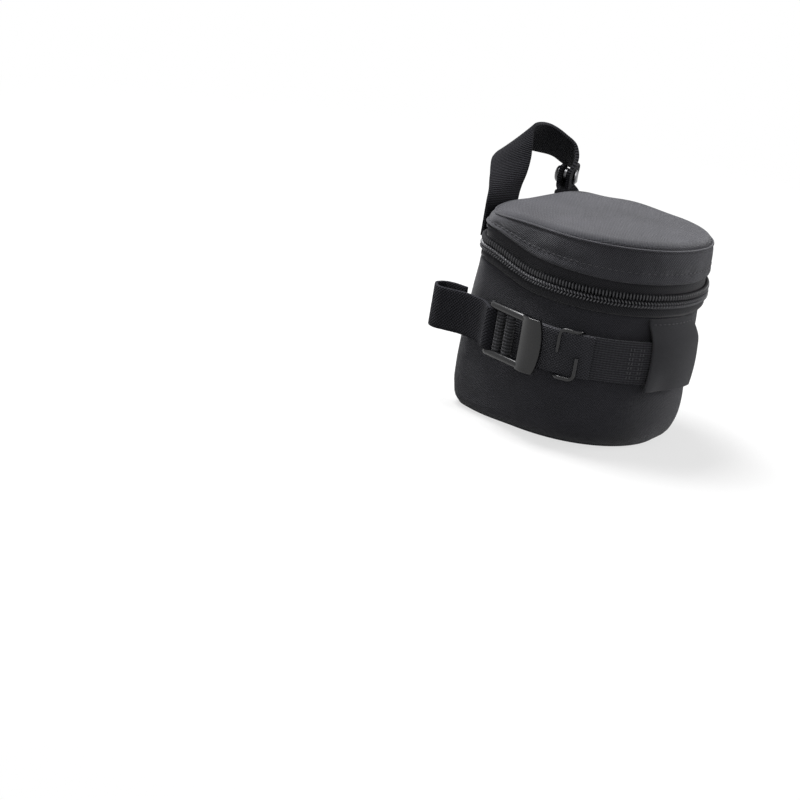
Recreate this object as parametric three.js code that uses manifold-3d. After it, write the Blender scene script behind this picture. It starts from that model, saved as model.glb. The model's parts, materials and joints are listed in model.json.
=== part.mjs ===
// Padded lens pouch with a zipped lid, a hanging loop with a press stud, and a side strap with a ladder buckle.
// Millimetres, +Z up. The origin is the centre of the underside, the front is -Y and the flat back is +Y.
import * as THREE from "three";
import { mergeVertices } from "three/addons/utils/BufferGeometryUtils.js";
import Module from "manifold-3d";

const wasm = await Module();
wasm.setup();

// Plan of the pouch along the line of the zip
const RADIUS = 46.5; // half circle of the front, and half the width
const BACK = 46.5; // flat back, behind the half circle's centre
const CORNER = 14; // the two back corners
const ARC_STEPS = 12; // facets in each quarter of the front
const CORNER_STEPS = 4;

// Layers
const FABRIC = 1.2;
const LINING = 0.8;
const LINING_IN = 8.2; // outer face of the lining, in from the zip line
const GAP = 0.3; // seam gap between neighbouring pieces

// Heights
const BODY_RIM = 66;
const ZIP_RISE = 8; // middle of the zip above the rim
const HEM_RISE = 9; // lower edge of the lid's band above the middle of the zip
const BAND_TALL = 11.3; // the lid's band, from its lower edge to its seam
const HINGE_Z = BODY_RIM + ZIP_RISE; // also the fold at the back
const HEM_Z = HINGE_Z + HEM_RISE;
const LID_SEAM_Z = HEM_Z + BAND_TALL;
const CROWN = 5.6; // rise of the lid's top above its seam
const BASE_THICK = 2.2;
const CUP_FLOOR = 7.8; // underside of the lining

// Outer face of the body, as distance out from the zip line
const RIM_OUT = -2.4;
const WALL_OUT = -0.8;
const FOOT_OUT = -6;
const FOOT_RISE = 2.4;
const FOOT_ROUND = 8; // height over which the wall turns in to the base
const WELT = 0.8; // radius of the piped seams
const LID_OUT = 0.8; // lower edge of the lid's band
const LID_LEAN = 1.2; // how far the band leans in, up to its seam

// Zip
const ROW_TALL = 2.7; // one row of the coil
const ROW_GAP = 1.2; // between the two rows
const COIL_IN = -0.6;
const COIL_OUT = 1.4;
const TAPE = 0.8;
const TAPE_OUT = -0.9;
const TAPE_LAP = 1.5; // tape behind the lid's hem

// Webbing
const WEB = 20;
const WEB_THICK = 1.6;
const TAIL_THICK = 1.3;
const STRAP_Z = 45; // middle of the side strap
const STRAP_LIFT = 1.6; // clear space under the strap
const STRAP_START = -12; // runs are counted from the front centre, towards -X
const STRAP_END = 84;
const TAIL_START = 40;
const TAIL_END = 75;

// Label tab over the strap
const LABEL_WIDE = 31;
const LABEL_DROP = 1.4; // sewn edge below the rim
const LABEL_FOOT = 30.5;
const LABEL_TOP = BODY_RIM - LABEL_DROP;
const LABEL_THICK = 1.1;

// Wire keeper round the strap
const KEEPER_START = 43.5;
const KEEPER_LONG = 13.5;
const KEEPER_BAR = 1.6;
const KEEPER_PLATE = 0.7;
const KEEPER_CLEAR = 0.4;

// Ladder buckle on the left side
const BUCKLE_REAR = 18.5;
const BUCKLE_LONG = 33.5;
const BUCKLE_WIDE = 25.6;
const BUCKLE_THICK = 2.6;
const BUCKLE_RAIL = 2.2;
const BUCKLE_BAR = 2.4;
const BUCKLE_SLOT = 3.6;
const THUMB_SLOT = 4.4; // slot beside the thumb plate
const THUMB_BULGE = 2.4; // bow of the thumb plate's edge
const THUMB_LIP = 1; // ridge on the thumb plate
const SLEEVE = 1.1; // webbing folded over a bar

// Belt loop behind the left side
const LOOP_FLARE = 4; // how far it leans out
const LOOP_REACH = 12; // behind the flat back
const LOOP_SAG = 1.8;
const LOOP_OPEN = 8; // between the middles of its two plies

// Hanging loop and its press stud
const LEG_X = -25; // sewn end of the loop
const TAB_X = 19; // tab that takes the other end
const TAB_WIDE = 16;
const TAB_TIP = 11;
const LEG_LONG = 16.3; // sewn end, down from the lid's seam
const FOLD_GAP = 0.8; // between a sewn end and the free webbing above it
const LOOP_RISE = 24; // middle of the loop's top above the lid's seam
const LOOP_BACK = 18.8; // how far the loop leans back
const STUD_TURN = Math.PI / 6; // the stud's axis, turned from the back's normal
const STUD_X = 20;
const STUD_BACK = 7.5; // tab at the stud, behind the flat back
const STUD_RISE = 8.1; // above the lid's seam
const STUD_CAP = 4;
const STUD_RING = 3.5;
const STUD_KNOB = 1.9;
const RING_THICK = 1.6;
const RING_FLOOR = 0.5;
const STUD_THICK = 0.9;
const KNOB_HIGH = 0.8;
const CAP_THICK = 1.8;
const ROUND_STEPS = 16;

// Zip slider, parked on the right where the front arc ends
const SLIDER_RUN = -69;
const SLIDER_LONG = 13;
const SLIDER_TALL = 8.4;
const SLIDER_PLATE = 1.4;
const SLIDER_CLEAR = 0.5;
const INNER_CLEAR = 1.6;
const NECK_THICK = 0.7;
const NECK_LONG = 1.8;
const BAIL_HIGH = 3.6;
const BAIL_BAR = 1.4;
const BAIL_WIDE = 2.4;
const BAIL_LONG = 9.2;
const PULL_LONG = 27;
const PULL_WIDE = 6.9;
const PULL_THICK = 1.4;
const PULL_BAR = 1.5; // cross bar under the bail
const PULL_EYE = 5.4; // opening behind the cross bar
const PULL_ARM = 1.2;

// Lengths along the zip line, from the front centre round to the middle of the back
const FRONT_RUN = (Math.PI / 2) * RADIUS;
const SIDE_RUN = BACK - CORNER;
const CORNER_RUN = (Math.PI / 2) * CORNER;
const REAR_RUN = RADIUS - CORNER;
const HALF_RUN = FRONT_RUN + SIDE_RUN + CORNER_RUN + REAR_RUN;
const SEAM_RUN = FRONT_RUN + SIDE_RUN + CORNER_RUN - 1; // where the front fabric meets the back panel
const BACK_FROM = SEAM_RUN + GAP;
const BACK_TO = 2 * HALF_RUN - BACK_FROM;

// Layers of the strap, out from the zip line
const STRAP_IN = WALL_OUT + STRAP_LIFT;
const STRAP_OUT = STRAP_IN + WEB_THICK;
const TAIL_IN = STRAP_OUT + GAP;
const TAIL_OUT = TAIL_IN + TAIL_THICK;
const STRAP_LOW = STRAP_Z - WEB / 2;
const STRAP_HIGH = STRAP_Z + WEB / 2;

// Point on the zip line and the outward direction there
function along(run) {
  const turn = 2 * HALF_RUN;
  const wrapped = ((((run + HALF_RUN) % turn) + turn) % turn) - HALF_RUN;
  const side = wrapped >= 0 ? -1 : 1;
  let d = Math.abs(wrapped);
  if (d <= FRONT_RUN) {
    const a = d / RADIUS;
    const nx = side * Math.sin(a);
    return { x: RADIUS * nx, y: -RADIUS * Math.cos(a), nx, ny: -Math.cos(a) };
  }
  d -= FRONT_RUN;
  if (d <= SIDE_RUN) return { x: side * RADIUS, y: d, nx: side, ny: 0 };
  d -= SIDE_RUN;
  if (d <= CORNER_RUN) {
    const a = d / CORNER;
    const nx = side * Math.cos(a);
    const y = BACK - CORNER + CORNER * Math.sin(a);
    return { x: side * REAR_RUN + CORNER * nx, y, nx, ny: Math.sin(a) };
  }
  d -= CORNER_RUN;
  return { x: side * (REAR_RUN - d), y: BACK, nx: 0, ny: 1 };
}

// Runs at which the outline needs a facet, between two limits
function facets(from, to) {
  const shortest = 0.5;
  const marks = [];
  for (const turn of [0, 2 * HALF_RUN]) {
    for (const side of [-1, 1]) {
      for (let i = 0; i <= ARC_STEPS; i++) {
        marks.push(turn + side * FRONT_RUN * (i / ARC_STEPS));
      }
      for (let i = 0; i <= CORNER_STEPS; i++) {
        marks.push(turn + side * (FRONT_RUN + SIDE_RUN + CORNER_RUN * (i / CORNER_STEPS)));
      }
    }
  }
  const runs = [from];
  for (const mark of marks.sort((a, b) => a - b)) {
    if (mark > runs[runs.length - 1] + shortest && mark < to - shortest) runs.push(mark);
  }
  return [...runs, to];
}

// Triangles over a flat outline, wound the same way as the outline
function cover(outline, first) {
  const flat = outline.map(([u, v]) => new THREE.Vector2(u, v));
  const faces = THREE.ShapeUtils.triangulateShape(flat, []);
  const area = faces.reduce((sum, face) => sum + THREE.ShapeUtils.area(face.map((i) => flat[i])), 0);
  const turned = area * THREE.ShapeUtils.area(flat) < 0;
  return faces.map(([a, b, c]) => (turned ? [a, c, b] : [a, b, c]).map((i) => first + i));
}

// Closed solid through rings of equal count, covered at both ends, with its faces turned out
function loft(rings, firstFlat, lastFlat) {
  const count = rings[0].length;
  const faces = cover(firstFlat, 0).map(([a, b, c]) => [a, c, b]);
  for (let r = 0; r + 1 < rings.length; r++) {
    for (let i = 0; i < count; i++) {
      const j = (i + 1) % count;
      const low = r * count;
      const high = low + count;
      faces.push([low + i, low + j, high + j], [low + i, high + j, high + i]);
    }
  }
  faces.push(...cover(lastFlat, (rings.length - 1) * count));
  return closed(rings.flat(), faces);
}

// Geometry from points and triangles, turned right side out
function closed(points, faces) {
  const at = (i) => new THREE.Vector3(...points[i]);
  const volume = faces.reduce((sum, [a, b, c]) => sum + at(a).dot(at(b).cross(at(c))), 0);
  const index = faces.flatMap(([a, b, c]) => (volume < 0 ? [a, c, b] : [a, b, c]));
  const geometry = new THREE.BufferGeometry();
  geometry.setAttribute("position", new THREE.Float32BufferAttribute(points.flat(), 3));
  return geometry.setIndex(index);
}

// A section of [distance out, height] points at one run
function station(section, run) {
  const p = along(run);
  return section.map(([out, z]) => [p.x + p.nx * out, p.y + p.ny * out, z]);
}

// A section carried along the zip line between two runs
function sweep(section, from, to) {
  const rings = facets(from, to).map((run) => station(section, run));
  return loft(rings, section, section);
}

// A section carried right round the zip line
function hoop(section) {
  const runs = facets(-HALF_RUN, HALF_RUN).slice(0, -1);
  const points = runs.flatMap((run) => station(section, run));
  const count = section.length;
  const faces = [];
  for (let r = 0; r < runs.length; r++) {
    const low = r * count;
    const high = ((r + 1) % runs.length) * count;
    for (let i = 0; i < count; i++) {
      const j = (i + 1) % count;
      faces.push([low + i, low + j, high + j], [low + i, high + j, high + i]);
    }
  }
  return closed(points, faces);
}

// The whole plan at a distance out from the zip line, shrunk about the middle, at one height
function plan(out, z, shrink = 1) {
  return facets(-HALF_RUN, HALF_RUN)
    .slice(0, -1)
    .map((run) => station([[out, z]], run)[0])
    .map(([x, y]) => [x * shrink, y * shrink, z]);
}

// Solid through whole plans
function pad(rings) {
  return loft(rings, rings[0], rings[rings.length - 1]);
}

// Sheet section: an outer line of points and the same line set in by a thickness
function skin(outer, thick) {
  return [...outer, ...outer.map(([out, z]) => [out - thick, z]).reverse()];
}

// Round or rectangular sections
function bead(out, z, radius) {
  const sides = 8;
  return Array.from({ length: sides }, (_, i) => {
    const a = (2 * Math.PI * i) / sides;
    return [out + radius * Math.cos(a), z + radius * Math.sin(a)];
  });
}

function slab(out0, out1, z0, z1) {
  return [
    [out0, z0],
    [out1, z0],
    [out1, z1],
    [out0, z1],
  ];
}

// Webbing through stations of a middle point and a width direction
function ribbon(stations, thick, wide, tipWide = wide) {
  const steps = 4 * (stations.length - 1);
  const path = new THREE.CatmullRomCurve3(stations.map((s) => new THREE.Vector3(...s.at)));
  const across = new THREE.CatmullRomCurve3(stations.map((s) => new THREE.Vector3(...s.across)));
  const square = slab(-1, 1, -1, 1);
  const rings = [];
  for (let i = 0; i <= steps; i++) {
    const t = i / steps;
    const p = path.getPoint(t);
    const forward = path.getTangent(t);
    const g = across.getPoint(t).normalize();
    const n = forward.clone().cross(g).normalize();
    const half = THREE.MathUtils.lerp(wide, tipWide, t) / 2;
    const corner = ([a, b]) => p.clone().addScaledVector(g, a * half).addScaledVector(n, (b * thick) / 2);
    rings.push(square.map((ab) => corner(ab).toArray()));
  }
  return loft(rings, square, square);
}

// Turned piece from [radius, height] points, placed on the stud's axis
function turned(profile, offset) {
  const rings = profile.map(([radius, height]) =>
    Array.from({ length: ROUND_STEPS }, (_, i) => {
      const a = (2 * Math.PI * i) / ROUND_STEPS;
      return [radius * Math.cos(a), radius * Math.sin(a), height];
    }),
  );
  const across = new THREE.Vector3(...STUD_ACROSS);
  const up = new THREE.Vector3(0, 0, 1);
  const axis = new THREE.Vector3(...STUD_AXIS);
  const place = new THREE.Matrix4().makeBasis(across, up, axis);
  place.setPosition(...studPoint(offset));
  return pad(rings).applyMatrix4(place);
}

function block(x, y, z) {
  const box = new THREE.BoxGeometry(x[1] - x[0], y[1] - y[0], z[1] - z[0]);
  return box.translate((x[0] + x[1]) / 2, (y[0] + y[1]) / 2, (z[0] + z[1]) / 2);
}

// Outline in the Y-Z plane, given depth along X from a starting place
function plate(shape, x, depth) {
  const geometry = new THREE.ExtrudeGeometry(shape, { depth, bevelEnabled: false, curveSegments: 6 });
  const turn = new THREE.Matrix4().makeBasis(
    new THREE.Vector3(0, 1, 0),
    new THREE.Vector3(0, 0, 1),
    new THREE.Vector3(1, 0, 0),
  );
  return geometry.applyMatrix4(turn).translate(x, 0, 0);
}

function rectangle(target, y0, y1, z0, z1) {
  target.moveTo(y0, z0);
  target.lineTo(y1, z0);
  target.lineTo(y1, z1);
  target.lineTo(y0, z1);
  return target;
}

// One body from overlapping pieces, less any that are cut away
function join(pieces, cuts = []) {
  const sum = pieces.map(manifold).reduce((whole, piece) => whole.add(piece));
  const left = cuts.map(manifold).reduce((whole, piece) => whole.subtract(piece), sum);
  const mesh = left.getMesh();
  const geometry = new THREE.BufferGeometry();
  geometry.setAttribute("position", new THREE.BufferAttribute(new Float32Array(mesh.vertProperties), 3));
  return geometry.setIndex(new THREE.BufferAttribute(new Uint32Array(mesh.triVerts), 1));
}

function manifold(piece) {
  const bare = piece.clone();
  bare.deleteAttribute("normal");
  bare.deleteAttribute("uv");
  const merged = mergeVertices(bare);
  const vertProperties = new Float32Array(merged.attributes.position.array);
  const triVerts = new Uint32Array(merged.index.array);
  return new wasm.Manifold(new wasm.Mesh({ numProp: 3, vertProperties, triVerts }));
}

// Finishes
const shell = { color: 0x24242a, roughness: 0.92, metalness: 0 };
const inner = { color: 0x3a3a40, roughness: 0.95, metalness: 0 };
const foam = { color: 0x55555a, roughness: 1, metalness: 0 };
const webbing = { color: 0x17171a, roughness: 0.85, metalness: 0 };
const coil = { color: 0x1b1b1e, roughness: 0.5, metalness: 0 };
const moulded = { color: 0x141416, roughness: 0.35, metalness: 0 };
const blackened = { color: 0x303034, roughness: 0.3, metalness: 1 };

const group = new THREE.Group();

function add(name, geometry, finish, parent = group) {
  const mesh = new THREE.Mesh(geometry, new THREE.MeshStandardMaterial(finish));
  mesh.name = name;
  parent.add(mesh);
}

// Body
const wallOuter = [
  [RIM_OUT, BODY_RIM],
  [WALL_OUT, BODY_RIM * 0.74],
  [WALL_OUT, BODY_RIM * 0.42],
  [WALL_OUT - 0.4, FOOT_ROUND * 1.5],
  [(WALL_OUT + FOOT_OUT) / 2 + 0.5, FOOT_ROUND * 0.65],
  [FOOT_OUT, FOOT_RISE],
];
const backOuter = [[LID_OUT, HINGE_Z - GAP], ...wallOuter.slice(1)];
const foamTop = BODY_RIM - GAP;
const foamFoot = CUP_FLOOR + 0.4;
const foamIn = GAP - LINING_IN;
const foamOuter = [
  [RIM_OUT - FABRIC - GAP, foamTop],
  [WALL_OUT - FABRIC - GAP, BODY_RIM * 0.72],
  [WALL_OUT - FABRIC - GAP, BODY_RIM * 0.42],
  [WALL_OUT - FABRIC - GAP - 0.5, FOOT_ROUND * 1.5],
  [WALL_OUT - FABRIC - GAP - 1.6, foamFoot],
];
const foamSection = [...foamOuter, [foamIn, foamFoot], [foamIn, foamTop]];
const baseOut = FOOT_OUT - FABRIC - GAP;

add("base_panel", pad([plan(baseOut, 0), plan(baseOut, BASE_THICK)]), shell);
add("base_welt", hoop(bead(FOOT_OUT - GAP, WELT + 0.2, WELT)), webbing);
add("body_wall", sweep(skin(wallOuter, FABRIC), -SEAM_RUN, SEAM_RUN), shell);
add("back_panel", sweep(skin(backOuter, FABRIC), BACK_FROM, BACK_TO), shell);
add("wall_foam", sweep(foamSection, -SEAM_RUN, SEAM_RUN), foam);
add("back_foam", sweep(foamSection, BACK_FROM, BACK_TO), foam);
const baseFoam = [
  plan(baseOut - GAP, BASE_THICK + GAP),
  plan(baseOut + 2, FOOT_ROUND * 0.68),
  plan(baseOut + 2, CUP_FLOOR - GAP),
];
add("base_foam", pad(baseFoam), foam);
const cup = [
  plan(-LINING_IN, CUP_FLOOR),
  plan(-LINING_IN, BODY_RIM),
  plan(-LINING_IN - LINING, BODY_RIM),
  plan(-LINING_IN - LINING, CUP_FLOOR + LINING),
];
add("lining_cup", pad(cup), inner);

// Zip
const rowLow = HINGE_Z - ROW_GAP / 2;
const rowHigh = HINGE_Z + ROW_GAP / 2;
const tapeLower = [
  [RIM_OUT + 0.2, BODY_RIM + 0.4],
  [TAPE_OUT, rowLow - 0.5],
];
const tapeUpper = [
  [TAPE_OUT, rowHigh + 0.5],
  [TAPE_OUT, HEM_Z + TAPE_LAP],
];
const coilRow = (z) => bead((COIL_IN + COIL_OUT) / 2, 0, 1).map(([out, rise]) => coilPoint(out, rise, z));
const coilPoint = (out, rise, z) => [out, z + (rise * ROW_TALL) / 2];
add("zip_tape_lower", sweep(skin(tapeLower, TAPE), -SEAM_RUN, SEAM_RUN), webbing);
add("zip_tape_upper", sweep(skin(tapeUpper, TAPE), -SEAM_RUN, SEAM_RUN), webbing);
add("zip_coil_lower", sweep(coilRow(rowLow - ROW_TALL / 2), -SEAM_RUN, SEAM_RUN), coil);
add("zip_coil_upper", sweep(coilRow(rowHigh + ROW_TALL / 2), -SEAM_RUN, SEAM_RUN), coil);

// Lid
const bandTop = LID_SEAM_Z - 0.7;
const bandOuter = [
  [LID_OUT, HEM_Z],
  [LID_OUT - LID_LEAN / 3, (HEM_Z + bandTop) / 2],
  [LID_OUT - LID_LEAN, bandTop],
];
const lidBackOuter = [
  [LID_OUT, HINGE_Z + GAP],
  [LID_OUT, bandTop],
];
const weltOut = LID_OUT - LID_LEAN - 0.2;
const topOut = weltOut - WELT - GAP;
const foamLidTop = LID_SEAM_Z - 0.8;
const dome = [
  plan(topOut, LID_SEAM_Z - 0.4),
  plan(topOut, LID_SEAM_Z + 0.4),
  plan(topOut, LID_SEAM_Z + 0.24 * CROWN, 0.94),
  plan(topOut, LID_SEAM_Z + 0.62 * CROWN, 0.84),
  plan(topOut, LID_SEAM_Z + 0.88 * CROWN, 0.66),
  plan(topOut, LID_SEAM_Z + 0.98 * CROWN, 0.42),
  plan(topOut, LID_SEAM_Z + CROWN, 0.2),
];
const liningTop = HEM_Z + TAPE_LAP + LINING;
const lidOut = TAPE_OUT - TAPE - GAP;
add("lid_band", sweep(skin(bandOuter, FABRIC), -SEAM_RUN, SEAM_RUN), shell);
add("lid_back_panel", sweep(skin(lidBackOuter, FABRIC), BACK_FROM, BACK_TO), shell);
add("lid_welt", hoop(bead(weltOut, LID_SEAM_Z + WELT - GAP, WELT)), webbing);
add("lid_top_panel", pad(dome), shell);
add("lid_foam", pad([plan(lidOut, liningTop + GAP), plan(lidOut, foamLidTop)]), foam);
add("lid_lining", pad([plan(lidOut, liningTop - LINING), plan(lidOut, liningTop)]), inner);

// Strap, its tail and the label tab
add("strap_run", sweep(slab(STRAP_IN, STRAP_OUT, STRAP_LOW, STRAP_HIGH), STRAP_START, STRAP_END), webbing);
add("strap_tail", sweep(slab(TAIL_IN, TAIL_OUT, STRAP_LOW, STRAP_HIGH), TAIL_START, TAIL_END), webbing);
const labelOut = STRAP_OUT + GAP + LABEL_THICK;
const labelOuter = [
  [RIM_OUT + LABEL_THICK + GAP, LABEL_TOP],
  [labelOut, STRAP_HIGH + 1],
  [labelOut, STRAP_LOW - 1],
  [WALL_OUT + LABEL_THICK + GAP, LABEL_FOOT],
];
add("label_tab", sweep(skin(labelOuter, LABEL_THICK), -LABEL_WIDE / 2, LABEL_WIDE / 2), shell);

// Keeper: a plate behind the strap, a bar above and below, and two offset arms in front
const keeperEnd = KEEPER_START + KEEPER_LONG;
const keeperBack = (WALL_OUT + STRAP_IN - KEEPER_PLATE) / 2;
const keeperFront = TAIL_OUT + KEEPER_CLEAR;
const keeperOut = keeperFront + KEEPER_BAR;
const keeperLow = STRAP_LOW - KEEPER_CLEAR - KEEPER_BAR;
const keeperHigh = STRAP_HIGH + KEEPER_CLEAR + KEEPER_BAR;
const armEnd = 0.55 * WEB; // length of each front arm over the strap
const keeperPieces = [
  sweep(slab(keeperBack, keeperBack + KEEPER_PLATE, keeperLow, keeperHigh), KEEPER_START, keeperEnd),
  sweep(slab(keeperBack, keeperOut, keeperHigh - KEEPER_BAR, keeperHigh), KEEPER_START, keeperEnd),
  sweep(slab(keeperBack, keeperOut, keeperLow, keeperLow + KEEPER_BAR), KEEPER_START, keeperEnd),
  sweep(
    slab(keeperFront, keeperOut, keeperHigh - KEEPER_BAR - armEnd, keeperHigh),
    keeperEnd - 2 * KEEPER_BAR,
    keeperEnd - KEEPER_BAR,
  ),
  sweep(
    slab(keeperFront, keeperOut, keeperLow, keeperLow + KEEPER_BAR + armEnd),
    KEEPER_START + KEEPER_BAR,
    KEEPER_START + 2 * KEEPER_BAR,
  ),
];
add("strap_keeper", join(keeperPieces), moulded);

// Buckle: a rear rail, two bars with webbing folded over them, and a thumb plate
const buckleIn = -(RADIUS + TAIL_OUT + GAP);
const buckleFace = buckleIn - BUCKLE_THICK;
const buckleLow = STRAP_Z - BUCKLE_WIDE / 2;
const buckleHigh = STRAP_Z + BUCKLE_WIDE / 2;
const slotLow = buckleLow + BUCKLE_RAIL;
const slotHigh = buckleHigh - BUCKLE_RAIL;
const firstBar = BUCKLE_REAR - BUCKLE_RAIL - BUCKLE_SLOT;
const secondBar = firstBar - BUCKLE_BAR - BUCKLE_SLOT;
const thumbRear = secondBar - BUCKLE_BAR - THUMB_SLOT;
const thumbEdge = BUCKLE_REAR - BUCKLE_LONG;
const buckleShape = new THREE.Shape();
buckleShape.moveTo(BUCKLE_REAR, buckleLow);
buckleShape.lineTo(BUCKLE_REAR, buckleHigh);
buckleShape.lineTo(thumbEdge + THUMB_BULGE, buckleHigh);
buckleShape.quadraticCurveTo(thumbEdge - THUMB_BULGE, STRAP_Z, thumbEdge + THUMB_BULGE, buckleLow);
const slotSpan = [buckleFace - GAP, buckleIn + GAP];
const slots = [
  block(slotSpan, [firstBar, firstBar + BUCKLE_SLOT], [slotLow, slotHigh]),
  block(slotSpan, [secondBar, secondBar + BUCKLE_SLOT], [slotLow, slotHigh]),
  block(slotSpan, [thumbRear, thumbRear + THUMB_SLOT], [slotLow, slotHigh]),
];
const lip = block(
  [buckleFace - THUMB_LIP, buckleFace + THUMB_LIP],
  [thumbEdge + THUMB_BULGE, thumbEdge + 2 * THUMB_BULGE],
  [slotLow, slotHigh],
);
add("ladder_buckle", join([plate(buckleShape, buckleFace, BUCKLE_THICK), lip], slots), moulded);
const sleeveHalf = WEB / 2;
function sleeve(barFront) {
  const wrap = GAP + SLEEVE;
  const shape = new THREE.Shape();
  rectangle(shape, barFront - wrap, barFront + BUCKLE_BAR + wrap, buckleFace - wrap, buckleIn + wrap);
  const eye = new THREE.Path();
  rectangle(eye, barFront - GAP, barFront + BUCKLE_BAR + GAP, buckleFace - GAP, buckleIn + GAP);
  shape.holes.push(eye);
  const geometry = new THREE.ExtrudeGeometry(shape, { depth: WEB, bevelEnabled: false });
  const turn = new THREE.Matrix4().makeBasis(
    new THREE.Vector3(0, 1, 0),
    new THREE.Vector3(1, 0, 0),
    new THREE.Vector3(0, 0, -1),
  );
  return geometry.applyMatrix4(turn).translate(0, 0, STRAP_Z + sleeveHalf);
}
add("webbing_fold_rear", sleeve(firstBar - BUCKLE_BAR), webbing);
add("webbing_fold_front", sleeve(secondBar - BUCKLE_BAR), webbing);

// Belt loop: out past the back corner, round, and in to the corner seam
const sideX = -(RADIUS + (STRAP_IN + STRAP_OUT) / 2);
const cornerOut = CORNER + WALL_OUT + WEB_THICK + GAP + 0.3;
const cornerSpot = BACK - CORNER + 0.75 * cornerOut;
const loopEnd = BACK + LOOP_REACH;
const nearX = sideX - LOOP_FLARE;
const farX = nearX + LOOP_OPEN;
const loopPath = [
  [sideX, STRAP_END + 1 - FRONT_RUN, STRAP_Z],
  [sideX, 0.58 * BACK, STRAP_Z],
  [sideX - 0.2 * LOOP_FLARE, 0.8 * BACK, STRAP_Z - 0.2 * LOOP_SAG],
  [sideX - 0.8 * LOOP_FLARE, BACK + 0.1 * LOOP_REACH, STRAP_Z - 0.7 * LOOP_SAG],
  [nearX, loopEnd - 0.5 * LOOP_REACH, STRAP_Z - 0.9 * LOOP_SAG],
  [nearX + 0.12 * LOOP_OPEN, loopEnd - 0.2 * LOOP_REACH, STRAP_Z - LOOP_SAG],
  [nearX + 0.5 * LOOP_OPEN, loopEnd, STRAP_Z - LOOP_SAG],
  [farX - 0.12 * LOOP_OPEN, loopEnd - 0.2 * LOOP_REACH, STRAP_Z - LOOP_SAG],
  [farX, loopEnd - 0.5 * LOOP_REACH, STRAP_Z - 0.9 * LOOP_SAG],
  [-(RADIUS - CORNER + 0.66 * cornerOut), cornerSpot, STRAP_Z - 0.6 * LOOP_SAG],
];
add("belt_loop", ribbon(loopPath.map((at) => ({ at, across: [0, 0, 1] })), WEB_THICK, WEB), webbing);

// Hanging loop: one end sewn to the lid's back, the other pressed to a tab
const legIn = BACK + LID_OUT + GAP;
const legMid = legIn + WEB_THICK / 2;
const legTop = LID_SEAM_Z;
const freeZ = legTop + FOLD_GAP;
const legSpan = [legIn, legIn + WEB_THICK];
const legTall = [legTop - LEG_LONG, legTop];
add("loop_leg", block([LEG_X - WEB / 2, LEG_X + WEB / 2], legSpan, legTall), webbing);
add("snap_tab_base", block([TAB_X - TAB_WIDE / 2, TAB_X + TAB_WIDE / 2], legSpan, legTall), webbing);

const STUD_AXIS = [Math.sin(STUD_TURN), -Math.cos(STUD_TURN), 0];
const STUD_ACROSS = [Math.cos(STUD_TURN), Math.sin(STUD_TURN), 0];
const studZ = LID_SEAM_Z + STUD_RISE;

// Point on the stud's axis, measured from the middle of the tab towards the loop
function studPoint(offset) {
  return [STUD_X + STUD_AXIS[0] * offset, BACK + STUD_BACK + STUD_AXIS[1] * offset, studZ];
}

const plySpace = WEB_THICK + RING_THICK + STUD_THICK + 3 * GAP;
const [plyX, plyY] = studPoint(plySpace);
const loopSpan = plyX - LEG_X;
const loopTall = LOOP_RISE - FOLD_GAP;

// Point of the hanging loop, as shares of its span, its lean back and its height
function loopPoint(share, back, rise) {
  return [LEG_X + share * loopSpan, legMid + back * LOOP_BACK, freeZ + rise * loopTall];
}

const loopStations = [
  { at: loopPoint(0, 0, 0), across: [-1, 0, 0] },
  { at: loopPoint(0, 0.075, 0.13), across: [-1, 0, 0] },
  { at: loopPoint(0.07, 0.25, 0.36), across: [-0.95, 0.25, -0.15] },
  { at: loopPoint(0.24, 0.48, 0.61), across: [-0.8, 0.45, -0.32] },
  { at: loopPoint(0.36, 0.75, 0.82), across: [-0.5, 0.64, -0.55] },
  { at: loopPoint(0.5, 0.95, 0.98), across: [-0.15, 0.66, -0.72] },
  { at: loopPoint(0.67, 0.99, 1), across: [0.1, 0.62, -0.78] },
  { at: loopPoint(0.87, 0.89, 0.94), across: [0.28, 0.55, -0.79] },
  { at: loopPoint(1.02, 0.72, 0.82), across: [0.38, 0.62, -0.68] },
  { at: loopPoint(1.09, 0.49, 0.69), across: [0.44, 0.66, -0.6] },
  { at: loopPoint(1.06, 0.24, 0.59), across: [0.65, 0.68, -0.35] },
  { at: [plyX, plyY, studZ + STUD_RING + GAP], across: STUD_ACROSS },
  { at: [plyX, plyY, studZ], across: STUD_ACROSS },
  { at: [plyX, plyY, studZ - STUD_RING - GAP], across: STUD_ACROSS },
];
add("loop_strap", ribbon(loopStations, WEB_THICK, WEB), webbing);

const [tabX, tabY] = studPoint(0);
const tabTall = studZ - freeZ;
const tabStations = [
  { at: [TAB_X, legMid, freeZ], across: [1, 0, 0] },
  { at: [TAB_X, legMid + 0.11 * (tabY - legMid), freeZ + 0.14 * tabTall], across: [1, 0.06, 0] },
  {
    at: [TAB_X + 0.3 * (tabX - TAB_X), legMid + 0.5 * (tabY - legMid), freeZ + 0.33 * tabTall],
    across: [0.92, 0.38, 0.08],
  },
  { at: [tabX, tabY, freeZ + 0.49 * tabTall], across: STUD_ACROSS },
  { at: [tabX, tabY, freeZ + 0.86 * tabTall], across: STUD_ACROSS },
  { at: [tabX, tabY, studZ + 1.25 * STUD_CAP], across: STUD_ACROSS },
];
add("snap_tab", ribbon(tabStations, WEB_THICK, TAB_WIDE, TAB_TIP), webbing);

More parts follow.
